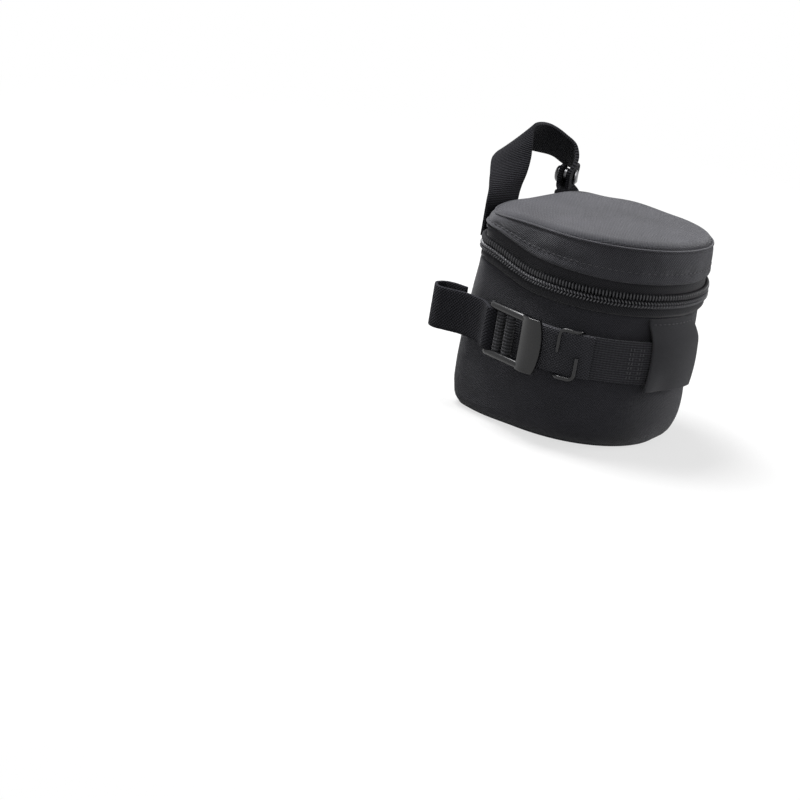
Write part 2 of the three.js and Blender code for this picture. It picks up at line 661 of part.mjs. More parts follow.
const halfPly = WEB_THICK / 2;
const capProfile = [
  [0.55 * STUD_CAP, -CAP_THICK],
  [0.9 * STUD_CAP, -0.7 * CAP_THICK],
  [STUD_CAP, -0.25 * CAP_THICK],
  [STUD_CAP, 0],
];
const ringHole = STUD_KNOB + 0.7;
const ringProfile = [
  [STUD_RING, 0],
  [STUD_RING, RING_THICK],
  [ringHole, RING_THICK],
  [ringHole, RING_FLOOR],
];
const knobProfile = [
  [STUD_KNOB, -KNOB_HIGH],
  [STUD_KNOB, 0],
  [STUD_RING, 0],
  [STUD_RING, STUD_THICK],
];
const postProfile = [
  [STUD_RING, 0],
  [STUD_RING, 0.6 * STUD_THICK],
  [0.7 * STUD_RING, STUD_THICK],
];
add("snap_cap", turned(capProfile, -halfPly - 2 * GAP), blackened);
add("snap_socket", turned(ringProfile, halfPly + GAP), blackened);
add("snap_stud", turned(knobProfile, halfPly + 2 * GAP + RING_THICK), blackened);
add("snap_post", turned(postProfile, plySpace + halfPly + 2 * GAP), blackened);

// Zip slider and pull, in a frame with X out, Y along the zip and Z up
const parked = along(SLIDER_RUN);
const sliderFrame = new THREE.Group();
sliderFrame.rotation.z = Math.atan2(parked.ny, parked.nx);
sliderFrame.position.set(parked.x, parked.y, HINGE_Z);
group.add(sliderFrame);
const outerPlate = [COIL_OUT + SLIDER_CLEAR, COIL_OUT + SLIDER_CLEAR + SLIDER_PLATE];
const innerFace = TAPE_OUT - TAPE - INNER_CLEAR;
const innerPlate = [innerFace - SLIDER_PLATE, innerFace];
const bailTop = outerPlate[1] + BAIL_HIGH;
const plateLong = [-SLIDER_LONG / 2, SLIDER_LONG / 2];
const plateTall = [-SLIDER_TALL / 2, SLIDER_TALL / 2];
const bailTall = [-BAIL_WIDE / 2, BAIL_WIDE / 2];
const post = [outerPlate[0] + 0.4, bailTop];
const sliderPieces = [
  block(outerPlate, plateLong, plateTall),
  block(innerPlate, plateLong, plateTall),
  block(
    [innerPlate[0] + 0.4, outerPlate[1] - 0.4],
    [SLIDER_LONG / 2 - NECK_LONG - GAP, SLIDER_LONG / 2 - GAP],
    [-NECK_THICK / 2, NECK_THICK / 2],
  ),
  block(post, [-BAIL_LONG / 2, BAIL_BAR - BAIL_LONG / 2], bailTall),
  block(post, [BAIL_LONG / 2 - BAIL_BAR, BAIL_LONG / 2], bailTall),
  block([bailTop - BAIL_BAR, bailTop], [-BAIL_LONG / 2, BAIL_LONG / 2], bailTall),
];
add("zip_slider", join(sliderPieces), blackened, sliderFrame);
const pullShape = rectangle(new THREE.Shape(), -PULL_BAR / 2, PULL_LONG, -PULL_WIDE / 2, PULL_WIDE / 2);
const eyeHalf = PULL_WIDE / 2 - PULL_ARM;
pullShape.holes.push(rectangle(new THREE.Path(), PULL_BAR / 2, PULL_BAR / 2 + PULL_EYE, -eyeHalf, eyeHalf));
const pullSlack = BAIL_HIGH - BAIL_BAR - PULL_THICK;
add("zip_pull", plate(pullShape, outerPlate[1] + pullSlack / 2, PULL_THICK), blackened, sliderFrame);

export default group;
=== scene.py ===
"""Lens pouch: fabric, webbing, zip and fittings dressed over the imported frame.

Lengths in the code are millimetres and become metres when a mesh is made. The frame is the CAD's: +Z up,
the origin at the centre of the underside, the front at -Y and the flat back at +Y.
"""

from __future__ import annotations

import json
import logging
import math
from collections.abc import Callable, Sequence
from dataclasses import dataclass, field
from enum import Enum

import bpy
import numpy as np
from mathutils import Matrix, Vector

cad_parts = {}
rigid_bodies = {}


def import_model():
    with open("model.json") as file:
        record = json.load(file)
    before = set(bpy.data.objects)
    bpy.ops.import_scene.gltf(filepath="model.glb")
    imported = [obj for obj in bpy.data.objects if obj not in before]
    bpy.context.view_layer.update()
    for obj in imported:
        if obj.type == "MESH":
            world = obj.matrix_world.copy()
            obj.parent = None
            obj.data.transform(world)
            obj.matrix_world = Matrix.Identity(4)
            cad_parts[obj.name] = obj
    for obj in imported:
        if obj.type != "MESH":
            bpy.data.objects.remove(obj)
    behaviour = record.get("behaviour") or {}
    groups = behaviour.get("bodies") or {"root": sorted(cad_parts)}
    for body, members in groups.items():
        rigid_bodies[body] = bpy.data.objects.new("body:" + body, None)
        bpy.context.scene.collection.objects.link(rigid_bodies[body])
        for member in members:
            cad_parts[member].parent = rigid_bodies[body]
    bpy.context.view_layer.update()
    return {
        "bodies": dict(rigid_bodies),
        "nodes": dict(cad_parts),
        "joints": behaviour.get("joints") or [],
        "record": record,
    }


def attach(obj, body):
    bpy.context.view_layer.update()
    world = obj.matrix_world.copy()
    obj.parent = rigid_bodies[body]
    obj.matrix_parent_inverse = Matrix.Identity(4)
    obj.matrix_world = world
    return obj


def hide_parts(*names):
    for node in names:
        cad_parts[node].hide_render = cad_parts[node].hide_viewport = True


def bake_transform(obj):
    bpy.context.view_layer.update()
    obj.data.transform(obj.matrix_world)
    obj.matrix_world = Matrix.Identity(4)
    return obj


MM = 0.001
# Share of a webbing's thickness that its edges are rounded by
WEBBING_EDGE = 0.28
Place = Callable[[np.ndarray, np.ndarray], np.ndarray]
Profile = tuple[tuple[float, float], ...]
log = logging.getLogger("lens_pouch")


# Shapes in numbers
def smooth(points: Sequence[Sequence[float]], share: np.ndarray) -> np.ndarray:
    """Follow a smooth line through points.

    Args:
        points: rows of two or three coordinates, with any further columns carried along.
        share: places along the line, from 0 to 1.

    Returns:
        One row of values for each share.
    """
    knots = np.asarray(points, float)
    steps = np.linalg.norm(np.diff(knots[:, :3], axis=0), axis=1)
    at = np.concatenate([[0.0], np.cumsum(steps)]) / steps.sum()
    slope = np.gradient(knots, at, axis=0)
    cell = np.clip(np.searchsorted(at, share, side="right") - 1, 0, len(at) - 2)
    wide = (at[cell + 1] - at[cell])[:, None]
    k = (share - at[cell])[:, None] / wide
    start = (2 * k**3 - 3 * k**2 + 1) * knots[cell] + (k**3 - 2 * k**2 + k) * slope[cell] * wide
    end = (3 * k**2 - 2 * k**3) * knots[cell + 1] + (k**3 - k**2) * slope[cell + 1] * wide
    return start + end


def length_of(points: Sequence[Sequence[float]]) -> float:
    """Length of the smooth line through points, in their own unit."""
    line = smooth(points, np.linspace(0, 1, 200))[:, :3]
    return float(np.linalg.norm(np.diff(line, axis=0), axis=1).sum())


def ease(value: np.ndarray) -> np.ndarray:
    """Smooth step from 0 to 1."""
    k = np.clip(value, 0, 1)
    return k * k * (3 - 2 * k)


def ripple(run: np.ndarray, height: np.ndarray, phase: float = 0.0) -> np.ndarray:
    """Slow unevenness of padded cloth.

    Args:
        run: places along the cloth.
        height: places up it.
        phase: another number gives another unevenness.

    Returns:
        Values from about -1 to 1.
    """
    first = np.sin(run / 13.0 + phase) * np.cos(height / 17.0 + 2 * phase)
    second = np.sin(run / 7.3 - height / 12.0 + 1.7 + phase)
    third = np.sin(run / 4.1 + height / 9.0 + 0.6 - phase)
    return 0.5 * first + 0.3 * second + 0.2 * third


def turned_in(edge: np.ndarray, seam: float, deep: float = 0.7, turn: float = 2.5) -> np.ndarray:
    """How far cloth turns in over the last millimetres before a seam."""
    return -deep * ease((edge - seam + turn) / turn)


def steps_at(rows: Sequence[Sequence[float]], share: np.ndarray) -> list[np.ndarray]:
    """Columns of a table at shares of the way down its rows, in straight steps."""
    row = share * (len(rows) - 1)
    return [np.interp(row, range(len(rows)), column) for column in zip(*rows)]


@dataclass(frozen=True)
class Plan:
    """Plan of the pouch along the line of the zip; runs count from the front centre towards -X.

    The fields after the seam's inset tell how the soft pouch departs from a stiff one: how its back corners
    pull in, how the zip climbs and the hem dips, and how the lid tilts, sinks and shrinks.
    """

    radius: float = 46.5
    back: float = 46.5
    corner: float = 14.0
    seam_inset: float = 1.0
    corner_pull: float = 1.9
    corner_reach: float = 15.0
    zip_climb: float = 5.0
    zip_climb_run: float = 36.0
    hem_dip: float = 1.1
    lid_fall: float = 1.25
    lid_slope: float = 0.024
    lid_pinch: float = 0.05
    lid_sink: float = 1.6
    lid_shift: float = 1.8

    @property
    def front_run(self) -> float:
        """Length of the front quarter circle."""
        return math.pi / 2 * self.radius

    @property
    def side_run(self) -> float:
        """Length of one straight side."""
        return self.back - self.corner

    @property
    def corner_run(self) -> float:
        """Length of one back corner."""
        return math.pi / 2 * self.corner

    @property
    def half_run(self) -> float:
        """Length from the front centre to the middle of the back."""
        return self.front_run + self.side_run + self.corner_run + self.radius - self.corner

    @property
    def seam_run(self) -> float:
        """Where the front fabric meets the back panel."""
        return self.front_run + self.side_run + self.corner_run - self.seam_inset

    def wrapped(self, run: np.ndarray) -> np.ndarray:
        """The same place on the line, counted from the nearer side."""
        return (run + self.half_run) % (2 * self.half_run) - self.half_run

    def soft_corner(self, run: np.ndarray) -> np.ndarray:
        """How far cloth pulls in at the two back corners, where it rounds them off.

        Args:
            run: places along the line.

        Returns:
            Distances outwards, which are negative.
        """
        middle = self.front_run + self.side_run + 0.5 * self.corner_run
        away = (np.abs(self.wrapped(run)) - middle) / self.corner_reach
        return -self.corner_pull * np.exp(-(away**2))

    def zip_rise(self, run: np.ndarray) -> np.ndarray:
        """How far the soft zip line climbs towards the hinge, past the slider's travel."""
        return self.zip_climb * ease((np.abs(self.wrapped(run)) - self.front_run) / self.zip_climb_run)

    def hem_rise(self, run: np.ndarray) -> np.ndarray:
        """How far the lid's hem follows the zip, after a slight dip in front."""
        level = ease((np.abs(self.wrapped(run)) - 30.0) / 45.0)
        return self.zip_rise(run) - self.hem_dip + self.hem_dip * level

    def lid_tilt(self, points: np.ndarray) -> np.ndarray:
        """How far the lid's top rises from the hinge to the front, and from the right to the left."""
        across = self.lid_slope * points[:, 0] * ease((36.0 - points[:, 1]) / 40.0)
        return self.lid_fall * (1 - points[:, 1] / self.back) - across

    def settled(self, points: np.ndarray, share: np.ndarray | float) -> np.ndarray:
        """Pull the lid in on the right and at its back corners, which also sink.

        Args:
            points: rows of points, which are changed.
            share: how much of it each point takes, from 0 at the hem to 1 at the top.

        Returns:
            The same rows.
        """
        # The middle of a rounded corner lies 0.293 of its radius inside the square one
        corner = self.back - 0.293 * self.corner
        away = np.hypot(np.abs(points[:, 0]) - corner, points[:, 1] - corner)
        near = share * np.exp(-((away / self.corner_reach) ** 2))
        points[:, :2] *= (1 - self.lid_pinch * near)[:, None]
        points[:, 2] -= self.lid_sink * near
        points[:, 0] -= self.lid_shift * share * ease((points[:, 0] - 14.0) / 32.0)
        return points

    def frame(self, run: np.ndarray) -> tuple[np.ndarray, np.ndarray]:
        """Points on the zip line and the outward directions there.

        Args:
            run: lengths along the line.

        Returns:
            Two arrays of rows of x and y.
        """
        wrapped = self.wrapped(run)
        side = np.where(wrapped >= 0, -1.0, 1.0)
        far = np.abs(wrapped)
        turn = np.clip(far, 0, self.front_run) / self.radius
        past = far - self.front_run
        bend = np.clip(past - self.side_run, 0, self.corner_run) / self.corner
        rear = np.clip(past - self.side_run - self.corner_run, 0, None)
        on_back = past > self.side_run
        nx = side * np.where(on_back, np.cos(bend), np.sin(turn))
        ny = np.where(on_back, np.sin(bend), -np.cos(turn))
        back_x = side * (self.radius - self.corner - rear) + self.corner * nx
        back_y = self.back - self.corner + self.corner * ny
        x = np.where(on_back, back_x, self.radius * nx)
        y = np.where(on_back, back_y, self.radius * ny + np.clip(past, 0, self.side_run))
        return np.stack([x, y], 1), np.stack([nx, ny], 1)

    def place(self, run: np.ndarray, out: np.ndarray, height: np.ndarray | float) -> np.ndarray:
        """Points beside the zip line.

        Args:
            run: lengths along the line.
            out: distances outwards from it.
            height: heights above the ground, or one for all.

        Returns:
            Rows of x, y and z.
        """
        point, normal = self.frame(np.asarray(run, float))
        flat = point + normal * np.asarray(out, float)[:, None]
        return np.column_stack([flat, np.broadcast_to(height, len(flat))])

    def outward(self, run: np.ndarray) -> np.ndarray:
        """Outward directions on the zip line, as rows of x, y and z."""
        return np.column_stack([self.frame(run)[1], np.zeros(len(run))])


# Modelling helpers
def deselect() -> None:
    """Leave nothing selected, since loading the frame selects its nodes."""
    bpy.ops.object.select_all(action="DESELECT")


def pick(piece: bpy.types.Object) -> None:
    """Make one piece the only selected and active one.

    Args:
        piece: the piece.
    """
    deselect()
    piece.select_set(True)
    bpy.context.view_layer.objects.active = piece


def edit(piece: bpy.types.Object, *steps: Callable[[], object]) -> None:
    """Run steps in edit mode with the whole piece selected.

    Args:
        piece: the piece.
        steps: operators to call in turn.
    """
    pick(piece)
    bpy.ops.object.mode_set(mode="EDIT")
    bpy.ops.mesh.select_all(action="SELECT")
    for step in steps:
        step()
    bpy.ops.object.mode_set(mode="OBJECT")


def weld() -> None:
    """Merge touching points."""
    bpy.ops.mesh.remove_doubles(threshold=0.01 * MM)


def face_out() -> None:
    """Turn the faces of a closed piece outwards."""
    bpy.ops.mesh.normals_make_consistent(inside=False)


def apply(piece: bpy.types.Object, kind: str, **settings: object) -> None:
    """Add a modifier, set it and apply it.

    Args:
        piece: the piece.
        kind: type of the modifier.
        settings: its properties.
    """
    pick(piece)
    made = piece.modifiers.new(kind.lower(), kind)
    for name, value in settings.items():
        setattr(made, name, value)
    bpy.ops.object.modifier_apply(modifier=made.name)


def points_of(piece: bpy.types.Object) -> np.ndarray:
    """Read the vertices of a piece.

    Args:
        piece: the piece.

    Returns:
        Rows of x, y and z in metres.
    """
    flat = np.empty(len(piece.data.vertices) * 3)
    piece.data.vertices.foreach_get("co", flat)
    return flat.reshape(-1, 3)


def move_points(piece: bpy.types.Object, points: np.ndarray) -> None:
    """Give the vertices of a piece new places."""
    piece.data.vertices.foreach_set("co", points.ravel())
    piece.data.update()


def grid(
    name: str,
    cells: tuple[int, int],
    place: Place,
    cloth: tuple[float, float],
    join: bool = False,
) -> bpy.types.Object:
    """Model a sheet from a flat grid.

    Args:
        name: name of the piece.
        cells: faces along and across.
        place: gives points in millimetres from the two shares, 0 to 1.
        cloth: size of the flat sheet in millimetres, for the weave.
        join: merge touching points, for a closed ring or a pole.

    Returns:
        The new object.
    """
    deselect()
    bpy.ops.mesh.primitive_grid_add(x_subdivisions=cells[0], y_subdivisions=cells[1], size=1.0)
    piece = bpy.context.object
    piece.name = piece.data.name = name
    share = points_of(piece) + 0.5
    move_points(piece, place(share[:, 0], share[:, 1]) * MM)
    layer = piece.data.uv_layers.active
    flat = np.empty(len(layer.data) * 2)
    layer.data.foreach_get("uv", flat)
    layer.data.foreach_set("uv", (flat.reshape(-1, 2) * np.asarray(cloth)).ravel())
    if join:
        edit(piece, weld)
    return piece


def lay_flat(piece: bpy.types.Object) -> None:
    """Lay the weave over a piece from above, let out where its edge rolls down.

    Args:
        piece: a piece with a UV map.
    """
    layer = piece.data.uv_layers.active
    corner = np.empty(len(piece.data.loops), dtype=np.int64)
    piece.data.loops.foreach_get("vertex_index", corner)
    points = points_of(piece) / MM
    # Near the middle, where nothing rolls down, the reach stops at 20 mm
    reach = np.maximum(np.hypot(points[:, 0], points[:, 1]), 20.0)
    fall = points[:, 2].max() - points[:, 2]
    flat = points[:, :2] * (1 + 0.8 * fall / reach)[:, None]
    layer.data.foreach_set("uv", flat[corner].ravel())


def thicken(piece: bpy.types.Object, thick: float, offset: float = -1.0) -> None:
    """Give a sheet thickness; offset -1 keeps its outer face, 0 its middle."""
    apply(piece, "SOLIDIFY", thickness=thick * MM, offset=offset)


def round_edges(piece: bpy.types.Object, wide: float, segments: int = 2) -> None:
    """Bevel the sharp edges of a piece."""
    apply(
        piece,
        "BEVEL",
        width=wide * MM,
        segments=segments,
        limit_method="ANGLE",
        angle_limit=math.radians(50),
        harden_normals=False,
    )


def shade(piece: bpy.types.Object, degrees: float = 40.0) -> None:
    """Shade a piece smooth except over sharp edges."""
    pick(piece)
    bpy.ops.object.shade_smooth_by_angle(angle=math.radians(degrees))


def ribbon(
    name: str,
    stations: Sequence[Sequence[float]],
    width: float | tuple[float, float],
    thick: float,
    cells: tuple[int, int],
) -> bpy.types.Object:
    """Model webbing along stations of x, y, z and the direction across.

    Args:
        name: name of the piece.
        stations: rows of six numbers.
        width: one width, or the widths at the start and the end.
        thick: thickness of the webbing.
        cells: faces along and across.

    Returns:
        The new object.
    """
    first, last = width if isinstance(width, tuple) else (width, width)

    def place(s: np.ndarray, t: np.ndarray) -> np.ndarray:
        """Points at shares along the webbing and across it.

        Args:
            s: share along the webbing, from 0 to 1.
            t: share across it, from 0 to 1.

        Returns:
            Rows of points in millimetres.
        """
        line = smooth(stations, s)
        across = line[:, 3:] / np.linalg.norm(line[:, 3:], axis=1)[:, None]
        wide = first + (last - first) * s
        return line[:, :3] + across * ((t - 0.5) * wide)[:, None]

    piece = grid(name, cells, place, (length_of(stations), first))
    thicken(piece, thick, 0.0)
    round_edges(piece, WEBBING_EDGE * thick)
    shade(piece)
    return piece


def hoop(
    name: str,
    section: Sequence[Sequence[float]],
    plan: Plan,
    cells: tuple[int, int],
    soft: float = 0.0,
) -> bpy.types.Object:
    """Sweep a closed section of out and height all the way round the plan.

    Args:
        name: name of the piece.
        section: rows of out and height.
        plan: the plan to follow.
        cells: faces along and round the section.
        soft: share of the rounding at the back corners.

    Returns:
        The new object.
    """
    closed = [*section, section[0]]
    turn = 2 * plan.half_run

    def place(s: np.ndarray, t: np.ndarray) -> np.ndarray:
        """Points at shares round the plan and round the section.

        Args:
            s: share round the plan, from 0 to 1.
            t: share round the section, from 0 to 1.

        Returns:
            Rows of points in millimetres.
        """
        line = smooth(closed, t)
        run = plan.half_run - turn * s
        return plan.place(run, line[:, 0] + soft * plan.soft_corner(run), line[:, 1])

    piece = grid(name, cells, place, (turn, length_of(closed)), join=True)
    edit(piece, face_out)
    shade(piece, 60)
    return piece


def circle_section(out: float, height: float, radius: float, steps: int = 10) -> list[tuple[float, float]]:
    """Round section for a hoop."""
    angles = [2 * math.pi * k / steps for k in range(steps)]
    return [(out + radius * math.cos(a), height + radius * math.sin(a)) for a in angles]


def tube(name: str, centres: np.ndarray, radius: float, sides: int = 12) -> bpy.types.Object:
    """Sweep a round wire along centres, with closed ends.

    Args:
        name: name of the piece.
        centres: rows of points in millimetres.
        radius: radius of the wire.
        sides: faces round it.

    Returns:
        The new object.
    """
    tangent = np.gradient(centres, axis=0)
    tangent /= np.linalg.norm(tangent, axis=1)[:, None]
    # Any direction will do to start from that the wire does not start along
    side = np.cross(tangent[0], [0.31, 0.67, 0.68])
    sides_at = []
    for way in tangent:
        side = side - way * side.dot(way)
        side /= np.linalg.norm(side)
        sides_at.append(side.copy())
    across = np.array(sides_at)
    over = np.cross(tangent, across)
    rows = len(centres) + 1
    step = np.concatenate([[0], np.arange(len(centres)), [len(centres) - 1]])
    reach = np.concatenate([[0.0], np.full(len(centres), radius), [0.0]])

    def place(s: np.ndarray, t: np.ndarray) -> np.ndarray:
        """Points at shares round the wire and along it.

        Args:
            s: share round the wire, from 0 to 1.
            t: share along it, from 0 to 1.

        Returns:
            Rows of points in millimetres.
        """
        row = np.rint(t * rows).astype(int)
        at = step[row]
        angle = 2 * math.pi * s
        spoke = across[at] * np.cos(angle)[:, None] + over[at] * np.sin(angle)[:, None]
        return centres[at] + spoke * reach[row][:, None]

    long = float(np.linalg.norm(np.diff(centres, axis=0), axis=1).sum())
    piece = grid(name, (sides, rows), place, (2 * math.pi * radius, long), join=True)
    edit(piece, face_out)
    shade(piece, 50)
    return piece


def rounded_path(corners: Sequence[Sequence[float]], radius: float, steps: int = 6) -> np.ndarray:
    """Draw straight lines between corners and round each inner corner.

    Args:
        corners: rows of three coordinates.
        radius: how far from a corner the rounding starts.
        steps: points on each rounded corner.

    Returns:
        Rows of points.
    """
    spots = np.asarray(corners, float)
    line = [spots[0]]
    share = np.linspace(0, 1, steps)
    for before, at, after in zip(spots, spots[1:], spots[2:]):
        to_before, to_after = before - at, after - at
        near = at + to_before * min(0.5, radius / np.linalg.norm(to_before))
        past = at + to_after * min(0.5, radius / np.linalg.norm(to_after))
        line += [(1 - k) ** 2 * near + 2 * k * (1 - k) * at + k * k * past for k in share]
    line.append(spots[-1])
    return np.array(line)


def rounded_box(
    name: str, low: Sequence[float], high: Sequence[float], wide: float, segments: int = 3
) -> bpy.types.Object:
    """Model a box with rounded edges.

    Args:
        name: name of the piece.
        low: its lowest corner.
        high: its highest corner.
        wide: how far the rounding reaches.
        segments: faces across the rounding.

    Returns:
        The new object.
    """
    deselect()
    bpy.ops.mesh.primitive_cube_add(size=1.0)
    piece = bpy.context.object
    piece.name = piece.data.name = name
    low_at, high_at = np.asarray(low, float), np.asarray(high, float)
    move_points(piece, (low_at + (points_of(piece) + 0.5) * (high_at - low_at)) * MM)
    round_edges(piece, wide, segments)
    shade(piece)
    return piece


def turned(name: str, profile: Sequence[Sequence[float]], frame: Matrix, sides: int = 32) -> bpy.types.Object:
    """Turn a profile round an axis, closing it at both poles.

    Args:
        name: name of the piece.
        profile: rows of radius and height.
        frame: frame whose Z is the axis.
        sides: faces round it.

    Returns:
        The new object.
    """

    def place(s: np.ndarray, t: np.ndarray) -> np.ndarray:
        """Points at shares round the axis and along the profile.

        Args:
            s: share round the axis, from 0 to 1.
            t: share along the profile, from 0 to 1.

        Returns:
            Rows of points in millimetres.
        """
        row = np.rint(t * (len(profile) - 1)).astype(int)
        line = np.asarray(profile, float)[row]
        angle = 2 * math.pi * s
        return np.column_stack([line[:, 0] * np.cos(angle), line[:, 0] * np.sin(angle), line[:, 1]])

    piece = grid(name, (sides, len(profile) - 1), place, (20.0, 10.0), join=True)
    piece.data.transform(Matrix.Scale(MM, 4) @ frame @ Matrix.Scale(1 / MM, 4))
    edit(piece, face_out)
    shade(piece, 35)
    return piece


def joined(name: str, *pieces: bpy.types.Object) -> bpy.types.Object:
    """Join pieces into one object.

    Args:
        name: name of the whole.
        pieces: the pieces, of which the first keeps its place in the scene.

    Returns:
        The joined object.
    """
    pick(pieces[0])
    for piece in pieces[1:]:
        piece.select_set(True)
    bpy.ops.object.join()
    whole = bpy.context.object
    whole.name = whole.data.name = name
    return whole


def bead(name: str, size: Sequence[float], sides: int = 6, rings: int = 5) -> bpy.types.Object:
    """Model one small rounded bead, to be repeated.

    Args:
        name: name of the piece.
        size: its three lengths.
        sides: faces round it.
        rings: faces from pole to pole.

    Returns:
        The new object.
    """
    deselect()
    bpy.ops.mesh.primitive_uv_sphere_add(segments=sides, ring_count=rings, radius=0.5)
    piece = bpy.context.object
    piece.name = piece.data.name = name
    move_points(piece, points_of(piece) * np.asarray(size) * MM)
    return piece


def repeated(name: str, one: bpy.types.Object, frames: Sequence[Matrix]) -> bpy.types.Object:
    """Copy a modelled bead to each frame, in one mesh of its own.

    Args:
        name: name of the piece.
        one: the bead, which is removed.
        frames: places in millimetres.

    Returns:
        The new object.
    """
    base = points_of(one)
    faces = [list(face.vertices) for face in one.data.polygons]
    spots, loops = [], []
    for frame in frames:
        turn = np.array(frame.to_3x3())
        shift = np.array(frame.translation) * MM
        loops += [[index + len(spots) * len(base) for index in face] for face in faces]
        spots.append(base @ turn.T + shift)
    mesh = bpy.data.meshes.new(name)
    mesh.from_pydata(np.concatenate(spots).tolist(), [], loops)
    mesh.update()
    piece = bpy.data.objects.new(name, mesh)
    bpy.context.scene.collection.objects.link(piece)
    bpy.data.objects.remove(one, do_unlink=True)
    shade(piece, 80)
    return piece


def axes_at(at: Sequence[float], along: Sequence[float], out: Sequence[float]) -> Matrix:
    """Set up a frame.

    Args:
        at: its origin.
        along: direction of its X.
        out: direction that its Z leans to.

    Returns:
        The frame.
    """
    x = Vector(along).normalized()
    z = Vector(out)
    z = (z - x * z.dot(x)).normalized()
    y = z.cross(x)
    return Matrix.Translation(Vector(at)) @ Matrix((x, y, z)).transposed().to_4x4()


def path_frames(points: np.ndarray, outward: np.ndarray, pitch: float) -> list[Matrix]:
    """Frames at an even pitch along a line of points.

    Args:
        points: rows of points.
        outward: the outward direction at each of them.
        pitch: distance between frames.

    Returns:
        The frames, X along the line and Z outwards.
    """
    steps = np.linalg.norm(np.diff(points, axis=0), axis=1)
    at = np.concatenate([[0.0], np.cumsum(steps)])
    spots = np.arange(pitch / 2, at[-1], pitch)
    where = np.column_stack([np.interp(spots, at, column) for column in points.T])
    out = np.column_stack([np.interp(spots, at, column) for column in outward.T])
    ahead = np.column_stack([np.interp(spots + 0.1, at, column) for column in points.T])
    behind = np.column_stack([np.interp(spots - 0.1, at, column) for column in points.T])
    return [axes_at(p, a - b, o) for p, a, b, o in zip(where, ahead, behind, out)]


# Finishes
# Sizes of the fine patterns: fibres 0.45 mm apart, faded patches of 22 mm, moulded grain of 0.4 mm,
# patches of uneven gloss of 6 mm, and 2.5 mm from turn to turn of a herringbone
FIBRES_PER_MM = 2.2
FADED_PER_M = 45.0
GRAIN_PER_M = 2500.0
GLOSS_PER_M = 160.0
HERRINGBONE = 2.5


def linear(code: str) -> tuple[float, float, float, float]:
    """Turn an sRGB hex colour into the linear values that a shader takes.

    Args:
        code: the colour as a hash sign and six digits.

    Returns:
        Red, green, blue and an alpha of 1.
    """
    parts = [int(code[k : k + 2], 16) / 255 for k in (1, 3, 5)]
    values = [p / 12.92 if p <= 0.04045 else ((p + 0.055) / 1.055) ** 2.4 for p in parts]
    return (values[0], values[1], values[2], 1.0)


class Nodes:
    """Adds nodes to one material or world."""

    def __init__(self, tree: bpy.types.NodeTree) -> None:
        """Start with an empty tree."""
        self.tree = tree
        tree.nodes.clear()

    def add(
        self, kind: str, inputs: dict[str | int, object] | tuple[object, ...] = (), **settings: object
    ) -> bpy.types.Node:
        """Add a node with its settings and links.

        Args:
            kind: type of the node, without its prefix.
            inputs: a constant, a socket or a node for each input, by name or number, or in order. Of a node,
                the first output is linked.
            settings: properties of the node.

        Returns:
            The new node.
        """
        made = self.tree.nodes.new("ShaderNode" + kind)
        for name, value in settings.items():
            setattr(made, name, value)
        pairs = inputs.items() if isinstance(inputs, dict) else enumerate(inputs)
        for socket, value in pairs:
            source = value.outputs[0] if isinstance(value, bpy.types.Node) else value
            if isinstance(source, bpy.types.NodeSocket):
                self.tree.links.new(source, made.inputs[socket])
            else:
                made.inputs[socket].default_value = source
        return made


class Weave(Enum):
    """How the threads of a cloth lie."""

    PLAIN = "plain"
    RIBBED = "ribbed"
    LENGTHWISE = "lengthwise"
    HERRINGBONE = "herringbone"
    KNIT = "knit"


